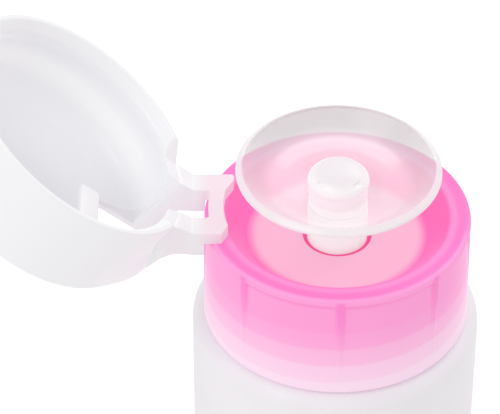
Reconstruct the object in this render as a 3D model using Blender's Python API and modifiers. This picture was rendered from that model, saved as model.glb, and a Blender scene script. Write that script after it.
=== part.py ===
"""Push-down liquid dispenser: bottle, screw closure, pump, press dish and flip lid.

Metres, +Z up, the origin in the middle of the bottle's flat base. The flip lid is modelled shut and
then turned back on its hinge, which lies along Y at the left of the collar.
"""

import math

import bmesh
import bpy
from mathutils import Matrix, Vector

# Clearances shared by every piece
seat_gap = 0.0003            # between two pieces that rest on or fit into each other
cut_overrun = 0.0010         # how far a cutter stands past what it cuts
merge_distance = 0.00001     # closer points of a turned piece are one point
weld_distance = 0.000001     # the same for a flat outline

# Bottle
bottle_radius = 0.02144
bottle_height = 0.0635       # base to the top of the shoulder
bottle_wall = 0.0010
bottle_floor = 0.0012
shoulder_round = 0.0020
base_round = 0.0025
neck_radius = 0.0157
neck_wall = 0.0014
neck_height = 0.0092

# Neck gasket and pump flange, stacked on the neck
gasket_thickness = 0.0012
flange_thickness = 0.0014
flange_inset = 0.0003        # flange and gasket end this far inside the neck's outer wall

# Collar
collar_gap = 0.0005          # collar above the shoulder
thread_room = 0.0013         # space for the threads between the neck and the skirt
collar_wall = 0.0025
collar_flare = 0.00025       # how much wider the skirt is at its foot
collar_floor = 0.0013
recess_depth = 0.0039
rim_width = 0.0032
recess_slope = 0.0031        # how far the sunk wall leans in
recess_wall = 0.0014
rim_round = 0.0006
skirt_root_drop = 0.0024     # top of the skirt's bore below the rim
guide_wall = 0.0008
guide_sleeve_room = 0.0004   # between the sleeve and the pump's bore
guide_drop = 0.0020          # length of the guide sleeve under the floor
hub_clearance = 0.0005       # between the hub and the guide hole
rib_count = 8
rib_top_width = 0.0012
rib_foot_width = 0.00045
panel_depth = 0.00035
panel_top_drop = 0.0010      # panels start this far under the rim
panel_foot_rise = 0.0012     # and run out this far over the collar's foot

# Hinge bracket on the rim
bracket_thickness = 0.0015
bracket_half_width = 0.0072
bracket_inset = 0.0004       # from the recess's edge
bracket_outset = 0.0006      # from the collar's outer wall
lug_low_y = 0.0034
lug_high_y = 0.0064
peg_radius = 0.00055
peg_length = 0.0016
peg_clearance = 0.0003
peg_half_spacing = 0.0050

# Hinge arms, shared by the bracket and the lid
arm_inner_y = 0.0031
arm_outer_y = 0.0064
arm_height = 0.0043
arm_reach = 0.0015           # hinge line outside the lid's wall
hinge_half_gap = 0.00015
hinge_lift = 0.0003          # hinge line above the bracket's top
lid_open_angle = math.radians(141.0)

# Lid
lid_overhang = 0.0003        # lid's rim outside the collar's wall
lid_draft = 0.0003           # how much narrower the closed end is
lid_wall = 0.0013
lid_top_thickness = 0.0012
lid_depth = 0.0134
lid_corner_round = 0.0009
lid_inner_round = 0.0004
lid_rim_gap = 0.0003         # shut lid above the collar's rim
notch_clearance = 0.0006     # rim notch around the bracket
notch_side_clearance = 0.0005
lid_slot_reach = 0.0076      # slot's length in the closed end
rib_proud = 0.0010           # arm ribs outside the lid's wall
rib_heel = 0.0020            # straight underside of the moving arm
sweep_share = 2.0            # length of the curve into the rib, of its depth
arm_bite = 0.00012           # how far an arm enters the lid's wall
lip_width = 0.0080           # thumb lip at the front
lip_reach = 0.0016
lip_thickness = 0.0012
ramp_length = 0.0040         # raised pad behind the slot
ramp_half_width = 0.0042
ramp_height = 0.0006

# Press dish
dish_radius = 0.01493
dish_wall = 0.0013
dish_lip_width = 0.00123
dish_lip_rise = 0.00066      # inner edge of the lip over its outer edge
dish_depth = 0.0053
dish_band = 0.0007           # upright outer edge under the lip
dish_floor_thickness = 0.0013
dish_bore_clearance = 0.0003

# Plunger stem and outlet
stroke = 0.0060
hub_radius = 0.0046
hub_engagement = 0.0007      # how far the hub stands in the guide hole
press_clearance = 0.0004     # pressed dish above the sunk floor
post_foot_radius = 0.0040
post_top_radius = 0.0042
post_height = 0.0010         # part of the post over the dish's floor
hub_wall = 0.0012
stem_radius = 0.0024
stem_wall = 0.0008
spigot_radius = 0.0029
spigot_height = 0.0010
cap_radius = 0.00455
cap_top_radius = 0.0029
cap_shoulder_share = 0.39    # height of the cap's widest ring, of its whole height
cap_top_thickness = 0.0008
cap_slit_count = 4
cap_slit_height = 0.0004
cap_slit_length = 0.0016
outlet_ball_radius = 0.0012
outlet_bore = 0.0010
outlet_land = 0.0010
outlet_lift = 0.0006

# Pump
housing_wall = 0.0012
guide_length = 0.0040
guide_clearance = 0.00075    # pressed hub above the stem guide
piston_length = 0.0060
piston_lip = 0.0011          # height of the sealing band at each end
piston_taper = 0.0011        # from a band down to the waist
piston_waist_depth = 0.0013
seat_flange_thickness = 0.0012
seat_flange_radius = 0.0056
seat_plug_length = 0.0040
seat_plug_wall = 0.0005
spring_length = 0.0120
spring_wire = 0.0008
spring_radius = 0.0046
spring_curls = 6
points_per_curl = 9
cage_thickness = 0.0012
cage_bore = 0.0015
cage_slots = 3
cage_slot_width = 0.0010
inlet_ball_radius = 0.0020
ball_side_room = 0.0006
inlet_lift = 0.0012
inlet_bore = 0.0012
inlet_land = 0.0008
tube_radius = 0.0025
tube_wall = 0.0008
socket_depth = 0.0060
socket_wall = 0.0011
tube_foot_gap = 0.0025       # dip tube above the bottle's floor

# Facets round a turned piece
large_facets = 48
small_facets = 24
arc_steps = 4

# Heights worked out upwards from the base
neck_top = bottle_height + neck_height
collar_foot = bottle_height + collar_gap
gasket_foot = neck_top + seat_gap
flange_foot = gasket_foot + gasket_thickness + seat_gap
flange_top = flange_foot + flange_thickness
floor_under = flange_top + seat_gap
floor_top = floor_under + collar_floor
rim_top = floor_top + recess_depth

# Radii worked out outwards from the neck
neck_bore = neck_radius - neck_wall
skirt_bore = neck_radius + thread_room
collar_radius = skirt_bore + collar_wall
lid_radius = collar_radius + lid_overhang
recess_radius = collar_radius - rim_width
recess_floor_radius = recess_radius - recess_slope
guide_hole = hub_radius + hub_clearance
guide_radius = guide_hole + guide_wall
housing_bore = guide_radius + guide_sleeve_room
flange_radius = neck_radius - flange_inset

# Bracket and hinge line
bracket_foot = rim_top + seat_gap
bracket_top = bracket_foot + bracket_thickness
hinge_x = -(lid_radius + arm_reach)
hinge_z = bracket_top + hinge_lift

# Shut lid
lid_rim = rim_top + lid_rim_gap
lid_top = lid_rim + lid_depth
lid_ceiling = lid_top - lid_top_thickness
notch_top = bracket_top + notch_clearance

# Plunger, from the hub up and down
hub_foot = floor_top - hub_engagement
dish_under = floor_top + stroke + press_clearance
hub_top = dish_under - seat_gap
dish_floor = dish_under + dish_floor_thickness
dish_rim = dish_floor + dish_depth
post_top = dish_floor + post_height
spigot_top = post_top + spigot_height
stem_bore = stem_radius - stem_wall
outlet_cone_radius = spigot_radius - stem_wall
cone_seat_share = math.sqrt(2.0)     # ball centre over a 45 degree cone's point, of its radius
outlet_ball_z = spigot_top - outlet_cone_radius + (outlet_ball_radius + seat_gap) * cone_seat_share
cap_foot = post_top + seat_gap
cap_ceiling = outlet_ball_z + outlet_ball_radius + outlet_lift + seat_gap
cap_top = cap_ceiling + cap_top_thickness
cap_bore = spigot_radius + seat_gap

# Pump, from the pressed hub down
guide_top = hub_foot - stroke - guide_clearance
guide_foot = guide_top - guide_length
piston_top = guide_foot - seat_gap
piston_foot = piston_top - piston_length
piston_radius = housing_bore - seat_gap
stem_foot = piston_foot
seat_flange_top = piston_foot - seat_gap
seat_flange_foot = seat_flange_top - seat_flange_thickness
seat_plug_radius = stem_bore - seat_gap
spring_top = seat_flange_foot - seat_gap
spring_foot = spring_top - spring_length
cage_top = spring_foot - seat_gap
cage_foot = cage_top - cage_thickness
ledge_z = cage_foot - seat_gap
chamber_radius = inlet_ball_radius + ball_side_room
inlet_ball_z = cage_foot - seat_gap - inlet_lift - inlet_ball_radius
cone_top = inlet_ball_z - (inlet_ball_radius + seat_gap) * cone_seat_share + chamber_radius
cone_foot = cone_top - (chamber_radius - inlet_bore)
land_foot = cone_foot - inlet_land
socket_radius = tube_radius + seat_gap
socket_foot = land_foot - socket_depth
socket_outer = socket_radius + socket_wall
tube_top = land_foot - seat_gap
tube_foot = bottle_floor + tube_foot_gap
housing_radius = housing_bore + housing_wall


def make_collection(name):
    """A new collection linked to the scene."""
    collection = bpy.data.collections.new(name)
    bpy.context.scene.collection.children.link(collection)
    return collection


def make_material(name, colour, roughness, metallic=0.0, transmission=0.0, alpha=1.0):
    """A Principled BSDF material in one colour."""
    material = bpy.data.materials.new(name)
    material.use_nodes = True
    shader = material.node_tree.nodes["Principled BSDF"]
    shader.inputs["Base Color"].default_value = (*colour, 1.0)
    shader.inputs["Roughness"].default_value = roughness
    shader.inputs["Metallic"].default_value = metallic
    shader.inputs["Transmission Weight"].default_value = transmission
    shader.inputs["Alpha"].default_value = alpha
    material.diffuse_color = (*colour, alpha)
    return material


def add_object(name, mesh, collection, material=None):
    """Link a mesh as a named object and shade it smooth up to sharp edges."""
    obj = bpy.data.objects.new(name, mesh)
    collection.objects.link(obj)
    if material:
        mesh.materials.append(material)
    mesh.shade_smooth()
    mesh.set_sharp_from_angle(angle=math.radians(35.0))
    return obj


def arc(centre_r, centre_z, radius, start, end, steps=arc_steps):
    """Points on a round corner of a profile, from one angle to another in degrees."""
    points = []
    for step in range(steps + 1):
        angle = math.radians(start + (end - start) * step / steps)
        points.append((centre_r + radius * math.cos(angle), centre_z + radius * math.sin(angle)))
    return points


def turned(name, profile, collection, material=None, facets=small_facets, closed=False):
    """Turn a profile of (radius, height) points about Z with a Screw modifier.

    The profile runs down the outer side first. A closed one joins its last point to its first.
    """
    mesh = bpy.data.meshes.new(name)
    count = len(profile)
    edges = [(i, i + 1) for i in range(count - 1)]
    if closed:
        edges.append((count - 1, 0))
    mesh.from_pydata([(radius, 0.0, height) for radius, height in profile], edges, [])
    obj = add_object(name, mesh, collection, material)
    screw = obj.modifiers.new("Turn", "SCREW")
    screw.axis = "Z"
    screw.angle = math.tau
    screw.steps = facets
    screw.render_steps = facets
    screw.use_merge_vertices = True
    screw.merge_threshold = merge_distance
    screw.use_smooth_shade = True
    return obj


def block(name, low, high, collection, material=None):
    """A box between two corners."""
    mesh = bpy.data.meshes.new(name)
    form = bmesh.new()
    bmesh.ops.create_cube(form, size=1.0)
    low, high = Vector(low), Vector(high)
    size = high - low
    bmesh.ops.scale(form, vec=size, verts=form.verts)
    bmesh.ops.translate(form, vec=(low + high) / 2.0, verts=form.verts)
    form.to_mesh(mesh)
    form.free()
    return add_object(name, mesh, collection, material)


def ball(name, radius, height, collection, material):
    """A ball on the bottle's axis."""
    mesh = bpy.data.meshes.new(name)
    form = bmesh.new()
    bmesh.ops.create_uvsphere(form, u_segments=14, v_segments=9, radius=radius)
    form.to_mesh(mesh)
    form.free()
    obj = add_object(name, mesh, collection, material)
    obj.location = (0.0, 0.0, height)
    return obj


def rod(name, radius, low, high, place, collection, facets=12):
    """An upright round rod at an (x, y) place."""
    profile = [(0.0, high), (radius, high), (radius, low), (0.0, low)]
    obj = turned(name, profile, collection, facets=facets)
    obj.location = (*place, 0.0)
    return obj


def sheet_outline(name, outline, low, high, turn, collection, material=None):
    """A flat outline made as thick as the span from low to high, then turned by a matrix.

    The outline is a filled 2D curve in its own XY plane, and its thickness lies along its own Z.
    """
    curve = bpy.data.curves.new(name, "CURVE")
    curve.dimensions = "2D"
    curve.fill_mode = "BOTH"
    curve.extrude = (high - low) / 2.0
    spline = curve.splines.new("POLY")
    spline.points.add(len(outline) - 1)
    for point, (x, y) in zip(spline.points, outline):
        point.co = (x, y, 0.0, 1.0)
    spline.use_cyclic_u = True
    guide = bpy.data.objects.new(name + "_curve", curve)
    collection.objects.link(guide)
    depsgraph = bpy.context.evaluated_depsgraph_get()
    mesh = bpy.data.meshes.new_from_object(guide.evaluated_get(depsgraph))
    mesh.name = name
    bpy.data.objects.remove(guide, do_unlink=True)
    mesh.transform(turn @ Matrix.Translation((0.0, 0.0, (low + high) / 2.0)))
    form = bmesh.new()
    form.from_mesh(mesh)
    bmesh.ops.remove_doubles(form, verts=form.verts, dist=weld_distance)
    bmesh.ops.recalc_face_normals(form, faces=form.faces)
    form.to_mesh(mesh)
    form.free()
    return add_object(name, mesh, collection, material)


def as_cutter(obj):
    """Keep a cutter out of the render and show it as wire."""
    obj.hide_render = True
    obj.display_type = "WIRE"
    return obj


def boolean(target, other, operation="DIFFERENCE"):
    """Cut one object with another, or join the two."""
    modifier = target.modifiers.new(operation.title(), "BOOLEAN")
    modifier.operation = operation
    modifier.solver = "EXACT"
    modifier.object = as_cutter(other)
    return modifier


def make_bottle(parts, material):
    """Blown bottle with a round shoulder, a plain neck and an even wall."""
    foot = bottle_height - shoulder_round
    inner_radius = bottle_radius - bottle_wall
    inner_shoulder = shoulder_round - bottle_wall
    inner_base = base_round - bottle_floor
    profile = [(neck_bore, neck_top), (neck_radius, neck_top), (neck_radius, bottle_height)]
    profile += arc(bottle_radius - shoulder_round, foot, shoulder_round, 90.0, 0.0, 5)
    profile += arc(bottle_radius - base_round, base_round, base_round, 0.0, -90.0, 5)
    profile += [(0.0, 0.0)]
    profile += [(0.0, bottle_floor)]
    profile += arc(inner_radius - inner_base, bottle_floor + inner_base, inner_base, -90.0, 0.0)
    profile += arc(inner_radius - inner_shoulder, foot, inner_shoulder, 0.0, 90.0)
    profile += [(neck_bore, bottle_height - bottle_wall)]
    outer = profile[: profile.index((0.0, 0.0)) + 1]
    inner = profile[profile.index((0.0, 0.0)) + 1:]
    return turned("bottle", inner + outer, parts, material, large_facets)


def make_collar(parts, cutters, material):
    """Screw closure: skirt with panels between ribs, flat rim, sunk floor and guide sleeve."""
    wall_lean = Vector((recess_slope, recess_depth)).normalized()
    under_radius = recess_floor_radius + recess_wall * wall_lean.y
    root_z = rim_top - skirt_root_drop
    foot_radius = collar_radius + collar_flare
    profile = [(recess_radius, rim_top)]
    profile += arc(collar_radius - rim_round, rim_top - rim_round, rim_round, 90.0, 0.0)
    profile += [(foot_radius, collar_foot), (skirt_bore, collar_foot), (skirt_bore, root_z)]
    profile += [(under_radius, floor_under), (guide_radius, floor_under)]
    profile += [(guide_radius, floor_under - guide_drop), (guide_hole, floor_under - guide_drop)]
    profile += [(guide_hole, floor_top), (recess_floor_radius, floor_top)]
    collar = turned("collar", profile, parts, material, large_facets, closed=True)

    panel_top = rim_top - panel_top_drop
    panel_foot = collar_foot + panel_foot_rise
    outside = foot_radius + cut_overrun
    panel_radius = collar_radius - panel_depth
    ring = [(outside, panel_top)]
    ring += [(outside, panel_foot), (foot_radius, panel_foot)]
    ring += arc(panel_radius + panel_depth, panel_top - panel_depth, panel_depth, 180.0, 90.0, 3)
    panels = turned("panel_cutter", ring, cutters, facets=large_facets, closed=True)
    half_top = rib_top_width / 2.0
    half_foot = rib_foot_width / 2.0
    rib_foot = panel_foot - cut_overrun
    rib_head = panel_top + cut_overrun
    outline = [(-half_foot, rib_foot), (half_foot, rib_foot)]
    outline += [(half_top, rib_head), (-half_top, rib_head)]
    for index in range(rib_count):
        turn = Matrix.Rotation(math.tau * index / rib_count, 4, "Z")
        turn = turn @ Matrix.Rotation(math.pi / 2.0, 4, "X")
        inside = panel_radius - cut_overrun
        rib = sheet_outline(f"rib_{index + 1}", outline, inside, outside + cut_overrun, turn, cutters)
        boolean(panels, rib)
    boolean(collar, panels)

    peg_hole = peg_radius + peg_clearance
    for index, place in enumerate(peg_places()):
        hole = rod(f"peg_hole_{index + 1}", peg_hole, rim_top - peg_length, rim_top + cut_overrun,
                   place, cutters)
        boolean(collar, hole)
    return collar


def peg_places():
    """Where the bracket's two pegs enter the rim, on the middle of the skirt's wall."""
    middle = skirt_bore + collar_wall / 2.0
    x = -math.sqrt(middle ** 2 - peg_half_spacing ** 2)
    return [(x, -peg_half_spacing), (x, peg_half_spacing)]


def make_bracket(parts, cutters, material):
    """White tab on the rim that carries the fixed half of the two arms."""
    inner = recess_radius + bracket_inset
    outer = collar_radius - bracket_outset
    steps = 8
    outline = []
    inner_angle = math.asin(bracket_half_width / inner)
    outer_angle = math.asin(bracket_half_width / outer)
    for step in range(steps + 1):
        angle = math.pi - outer_angle + 2.0 * outer_angle * step / steps
        outline.append((outer * math.cos(angle), outer * math.sin(angle)))
    for step in range(steps + 1):
        angle = math.pi + inner_angle - 2.0 * inner_angle * step / steps
        outline.append((inner * math.cos(angle), inner * math.sin(angle)))
    bracket = sheet_outline("hinge_bracket", outline, bracket_foot, bracket_top, Matrix.Identity(4),
                            parts, material)

    lug_x = -math.sqrt(inner ** 2 - lug_high_y ** 2)
    lug_root = -inner - bracket_inset
    lug = block("bracket_lug", (lug_root, lug_low_y, bracket_foot), (lug_x, lug_high_y, bracket_top),
                cutters)
    boolean(bracket, lug, "UNION")

    arm_end = hinge_x + hinge_half_gap
    arm_foot = hinge_z - arm_height
    wall_side = -(collar_radius + seat_gap)
    plate_side = -inner - bracket_inset
    for side, name in ((-1.0, "near"), (1.0, "far")):
        low_y, high_y = sorted((side * arm_inner_y, side * arm_outer_y))
        outline = [(arm_end, arm_foot), (wall_side, arm_foot), (wall_side, bracket_foot),
                   (plate_side, bracket_foot), (plate_side, bracket_top), (arm_end, bracket_top)]
        arm = sheet_outline(f"fixed_arm_{name}", outline, -high_y, -low_y,
                            Matrix.Rotation(math.pi / 2.0, 4, "X"), cutters)
        boolean(bracket, arm, "UNION")
    overlap = bracket_thickness / 2.0
    for index, place in enumerate(peg_places()):
        peg = rod(f"peg_{index + 1}", peg_radius, rim_top - peg_length + seat_gap,
                  bracket_foot + overlap, place, cutters)
        boolean(bracket, peg, "UNION")
    return bracket


def lid_arm_outline():
    """Side view of a moving arm on the shut lid, as (x, z) points.

    The end face stands upright when the lid is open, so here it leans out by the opening angle. Under
    it the arm runs in towards the wall and goes on as a rib up to the lid's closed end.
    """
    down = Vector((-math.sin(lid_open_angle), -math.cos(lid_open_angle)))
    away = Vector((-math.cos(lid_open_angle), math.sin(lid_open_angle)))
    start = Vector((hinge_x, hinge_z)) + away * hinge_half_gap
    tip = start + down * arm_height
    heel = tip + away * rib_heel
    rib_x = -(lid_radius + rib_proud)
    reach = rib_x - heel.x
    sweep = reach * sweep_share
    outline = [start, tip]
    for step in range(arc_steps + 1):
        share = step / arc_steps
        outline.append(heel + Vector((reach * math.sin(share * math.pi / 2.0), sweep * share)))
    rib_top = lid_top - lid_corner_round - lid_top_thickness
    outline.append(Vector((rib_x, rib_top)))
    outline.append(Vector((wall_seat(lid_draft), rib_top + rib_proud)))
    outline.append(Vector((wall_seat(0.0), notch_top)))
    return [(point.x, point.y) for point in outline]


def wall_seat(draft):
    """Where a moving arm ends inside the lid's wall, at the arm's inner side."""
    inner = lid_radius - draft - lid_wall
    return -(math.sqrt(inner ** 2 - arm_inner_y ** 2) + arm_bite)


def make_lid(parts, cutters, material):
    """Flip lid, modelled shut: a flat-topped cup, two arms, the slot between them and the notch."""
    top_radius = lid_radius - lid_draft
    inner_rim = lid_radius - lid_wall
    inner_top = top_radius - lid_wall
    profile = [(0.0, lid_top)]
    corner_z = lid_top - lid_corner_round
    profile += arc(top_radius - lid_corner_round, corner_z, lid_corner_round, 90.0, 0.0)
    profile += [(lid_radius, lid_rim), (inner_rim, lid_rim)]
    inner_z = lid_ceiling - lid_inner_round
    profile += arc(inner_top - lid_inner_round, inner_z, lid_inner_round, 0.0, 90.0, 2)
    profile += [(0.0, lid_ceiling)]
    pivot = bpy.data.objects.new("lid_pivot", None)
    parts.objects.link(pivot)
    pivot.location = (hinge_x, 0.0, hinge_z)
    pivot.rotation_euler = (0.0, -lid_open_angle, 0.0)
    lid = turned("lid", profile, parts, material, large_facets)
    pieces = [lid]

    outside = -lid_radius - lid_wall - cut_overrun
    notch_half = bracket_half_width + notch_side_clearance
    notch = block("rim_notch", (outside, -notch_half, lid_rim - cut_overrun),
                  (-inner_rim / 2.0, notch_half, notch_top), cutters)
    boolean(lid, notch)
    pieces.append(notch)

    lip = block("thumb_lip", (inner_rim + lid_wall / 2.0, -lip_width / 2.0, lid_rim),
                (lid_radius + lip_reach, lip_width / 2.0, lid_rim + lip_thickness), cutters)
    boolean(lid, lip, "UNION")
    pieces.append(lip)

    ramp_far = -(top_radius - lid_slot_reach - ramp_length)
    ramp = block("slot_ramp", (ramp_far - ramp_length, -ramp_half_width, lid_ceiling - ramp_height),
                 (ramp_far, ramp_half_width, lid_ceiling + lid_top_thickness / 2.0), cutters)
    boolean(lid, ramp, "UNION")
    pieces.append(ramp)

    slot = block("arm_slot", (outside, -arm_inner_y, lid_rim - cut_overrun),
                 (lid_slot_reach - top_radius, arm_inner_y, lid_top + cut_overrun), cutters)
    boolean(lid, slot)
    pieces.append(slot)

    for side, name in ((-1.0, "near"), (1.0, "far")):
        low_y, high_y = sorted((side * arm_inner_y, side * arm_outer_y))
        arm = sheet_outline(f"moving_arm_{name}", lid_arm_outline(), -high_y, -low_y,
                            Matrix.Rotation(math.pi / 2.0, 4, "X"), cutters)
        boolean(lid, arm, "UNION")
        pieces.append(arm)

    for piece in pieces:
        piece.parent = pivot
        piece.location = (-hinge_x, 0.0, -hinge_z)
    return lid


def make_dish(parts, material):
    """Clear press dish: an elliptical bowl with a sloping lip and a bore for the post."""
    bore = post_foot_radius + dish_bore_clearance
    lip_inner = dish_radius - dish_lip_width
    lip_outer_z = dish_rim - dish_lip_rise
    steps = 7
    outer, inner = [], []
    for step in range(steps + 1):
        share = step / steps
        angle = share * math.pi / 2.0
        outer_foot = hub_radius
        radius = outer_foot + (dish_radius - dish_wall / 2.0 - outer_foot) * math.cos(angle)
        height = lip_outer_z - dish_band - (lip_outer_z - dish_band - dish_under) * math.sin(angle)
        outer.append((radius, height))
        radius = bore + (lip_inner - dish_lip_rise / 2.0 - bore) * math.sin(angle)
        height = dish_floor + (dish_rim - dish_lip_rise - dish_floor) * (1.0 - math.cos(angle))
        inner.append((radius, height))
    band_z = lip_outer_z - dish_band / 2.0
    profile = [(lip_inner, dish_rim), (dish_radius, lip_outer_z), (dish_radius, band_z)]
    profile += outer
    profile += [(bore, dish_under)]
    profile += inner
    return turned("press_dish", profile, parts, material, large_facets, closed=True)


def make_stem(parts, material):
    """White post, hub and hollow stem in one piece."""
    hub_web = hub_top - hub_wall - hub_wall
    profile = [(outlet_cone_radius, spigot_top), (spigot_radius, spigot_top), (spigot_radius, post_top)]
    profile += [(post_top_radius, post_top), (post_foot_radius, dish_floor), (post_foot_radius, hub_top)]
    profile += [(hub_radius, hub_top), (hub_radius, hub_foot), (hub_radius - hub_wall, hub_foot)]
    profile += [(hub_radius - hub_wall, hub_web), (stem_radius, hub_web)]
    profile += [(stem_radius, stem_foot), (stem_bore, stem_foot)]
    cone_drop = outlet_cone_radius - outlet_bore
    bore_step = spigot_top - cone_drop - outlet_land
    profile += [(stem_bore, bore_step), (outlet_bore, bore_step), (outlet_bore, spigot_top - cone_drop)]
    return turned("plunger_stem", profile, parts, material, small_facets, closed=True)


def make_cap(parts, cutters, material):
    """Domed outlet cap with slits round its shoulder."""
    shoulder_z = cap_foot + (cap_top - cap_foot) * cap_shoulder_share
    profile = [(0.0, cap_top), (cap_top_radius, cap_top)]
    for step in range(1, arc_steps + 1):
        angle = math.pi / 2.0 * step / arc_steps
        radius = cap_top_radius + (cap_radius - cap_top_radius) * math.sin(angle)
        height = shoulder_z + (cap_top - shoulder_z) * math.cos(angle)
        profile.append((radius, height))
    profile += [(post_top_radius, cap_foot), (cap_bore, cap_foot)]
    profile += [(cap_bore, cap_ceiling), (0.0, cap_ceiling)]
    cap = turned("outlet_cap", profile, parts, material, small_facets)
    slit_top = cap_ceiling - cap_slit_height
    slit_foot = slit_top - cap_slit_height
    for index in range(cap_slit_count):
        angle = math.tau * (index + 1.0 / 2.0) / cap_slit_count
        slit = block(f"outlet_slit_{index + 1}",
                     (cap_bore - cap_slit_height, -cap_slit_length / 2.0, slit_foot),
                     (cap_radius + cut_overrun, cap_slit_length / 2.0, slit_top), cutters)
        slit.rotation_euler = (0.0, 0.0, angle)
        boolean(cap, slit)
    return cap


def make_guide(parts, material):
    """Bush that leads the stem in the top of the housing."""
    outer = housing_bore - seat_gap
    inner = stem_radius + seat_gap
    chamfer = housing_wall / 2.0
    profile = [(inner, guide_top), (outer - chamfer, guide_top), (outer, guide_top - chamfer)]
    profile += [(outer, guide_foot), (inner, guide_foot)]
    return turned("stem_guide", profile, parts, material, closed=True)


def make_piston(parts, material):
    """Seal with a lip at each end and a waist between."""
    bore = stem_radius + seat_gap
    waist = piston_radius - piston_waist_depth
    hollow = (bore + waist) / 2.0
    upper_band = piston_top - piston_lip
    lower_band = piston_foot + piston_lip
    profile = [(bore, upper_band), (hollow, upper_band), (piston_radius - piston_lip / 2.0, piston_top)]
    profile += [(piston_radius, piston_top), (piston_radius, upper_band)]
    profile += [(waist, upper_band - piston_taper), (waist, lower_band + piston_taper)]
    profile += [(piston_radius, lower_band), (piston_radius, piston_foot)]
    profile += [(bore, piston_foot)]
    return turned("piston", profile, parts, material, closed=True)


def make_piston_seat(parts, material):
    """Hollow plug in the stem's foot, with the flange that takes the spring."""
    bore = seat_plug_radius - seat_plug_wall
    plug_top = seat_flange_top + seat_plug_length
    profile = [(bore, plug_top), (seat_plug_radius, plug_top), (seat_plug_radius, seat_flange_top)]
    profile += [(seat_flange_radius, seat_flange_top), (seat_flange_radius, seat_flange_foot)]
    profile += [(bore, seat_flange_foot)]
    return turned("piston_seat", profile, parts, material, closed=True)


def make_spring(parts, material):
    """Wound return spring, one unbroken wire."""
    count = spring_curls * points_per_curl + 1
    rise = spring_length - spring_wire
    centres = []
    for index in range(count):
        share = index / (count - 1)
        angle = math.tau * spring_curls * share
        height = spring_foot + spring_wire / 2.0 + rise * share
        centres.append(Vector((spring_radius * math.cos(angle), spring_radius * math.sin(angle), height)))
    curve = bpy.data.curves.new("pump_spring", "CURVE")
    curve.dimensions = "3D"
    curve.bevel_depth = spring_wire / 2.0
    curve.bevel_resolution = 1
    curve.use_fill_caps = True
    spline = curve.splines.new("POLY")
    spline.points.add(count - 1)
    for point, centre in zip(spline.points, centres):
        point.co = (*centre, 1.0)
    curve.materials.append(material)
    obj = bpy.data.objects.new("pump_spring", curve)
    parts.objects.link(obj)
    apart = points_per_curl // 2
    least = min((centres[i] - centres[j]).length for i in range(count) for j in range(i + apart, count))
    print(f"Least gap of the spring to itself: {(least - spring_wire) * 1000.0:.2f} mm")
    return obj


def make_cage(parts, cutters, material):
    """Slotted ring that keeps the inlet ball under the spring."""
    outer = housing_bore - seat_gap
    profile = [(cage_bore, cage_top), (outer, cage_top), (outer, cage_foot), (cage_bore, cage_foot)]
    cage = turned("ball_cage", profile, parts, material, closed=True)
    slot_reach = chamber_radius + cage_slot_width
    for index in range(cage_slots):
        slot = block(f"cage_slot_{index + 1}",
                     (cage_bore / 2.0, -cage_slot_width / 2.0, cage_foot - cut_overrun),
                     (slot_reach, cage_slot_width / 2.0, cage_top + cut_overrun), cutters)
        slot.rotation_euler = (0.0, 0.0, math.tau * index / cage_slots)
        boolean(cage, slot)
    return cage


def make_housing(parts, material):
    """Pump cylinder with its flange, ball seat and socket for the dip tube."""
    shoulder = ledge_z - housing_wall
    taper_foot = shoulder - (housing_radius - socket_outer)
    profile = [(housing_bore, flange_top), (flange_radius, flange_top), (flange_radius, flange_foot)]
    profile += [(housing_radius, flange_foot), (housing_radius, shoulder), (socket_outer, taper_foot)]
    profile += [(socket_outer, socket_foot), (socket_radius, socket_foot), (socket_radius, land_foot)]
    profile += [(inlet_bore, land_foot), (inlet_bore, cone_foot), (chamber_radius, cone_top)]
    profile += [(chamber_radius, ledge_z), (housing_bore, ledge_z)]
    return turned("pump_housing", profile, parts, material, small_facets, closed=True)


def make_gasket(parts, material):
    """Flat liner between the neck and the flange."""
    inner = neck_bore
    foot, top = gasket_foot, gasket_foot + gasket_thickness
    profile = [(inner, top), (flange_radius, top), (flange_radius, foot), (inner, foot)]
    return turned("neck_gasket", profile, parts, material, large_facets, closed=True)


def make_tube(parts, material):
    """Suction tube, cut square at both ends."""
    bore = tube_radius - tube_wall
    profile = [(bore, tube_top), (tube_radius, tube_top), (tube_radius, tube_foot), (bore, tube_foot)]
    return turned("dip_tube", profile, parts, material, closed=True)


def main():
    for obj in list(bpy.data.objects):
        bpy.data.objects.remove(obj, do_unlink=True)
    parts = make_collection("liquid_dispenser_bottle")
    cutters = make_collection("cutters")

    frosted = make_material("frosted_plastic", (0.86, 0.87, 0.88), 0.45, transmission=0.5)
    pink = make_material("pink_translucent_plastic", (0.98, 0.40, 0.70), 0.30, transmission=0.4)
    white = make_material("white_translucent_plastic", (0.90, 0.89, 0.90), 0.35, transmission=0.2)
    clear = make_material("clear_plastic", (0.95, 0.93, 0.94), 0.10, transmission=0.9)
    opaque = make_material("white_plastic", (0.94, 0.92, 0.93), 0.35)
    natural = make_material("natural_plastic", (0.88, 0.88, 0.86), 0.40)
    rubber = make_material("soft_seal", (0.80, 0.80, 0.78), 0.60)
    steel = make_material("stainless_steel", (0.70, 0.70, 0.72), 0.20, metallic=1.0)

    make_bottle(parts, frosted)
    make_gasket(parts, rubber)
    make_housing(parts, natural)
    make_tube(parts, natural)
    make_cage(parts, cutters, natural)
    ball("inlet_ball", inlet_ball_radius, inlet_ball_z, parts, steel)
    make_spring(parts, steel)
    make_piston_seat(parts, natural)
    make_piston(parts, rubber)
    make_guide(parts, natural)
    make_stem(parts, opaque)
    ball("outlet_ball", outlet_ball_radius, outlet_ball_z, parts, steel)
    make_cap(parts, cutters, opaque)
    make_dish(parts, clear)
    make_collar(parts, cutters, pink)
    make_bracket(parts, cutters, white)
    make_lid(parts, cutters, white)


main()
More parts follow.
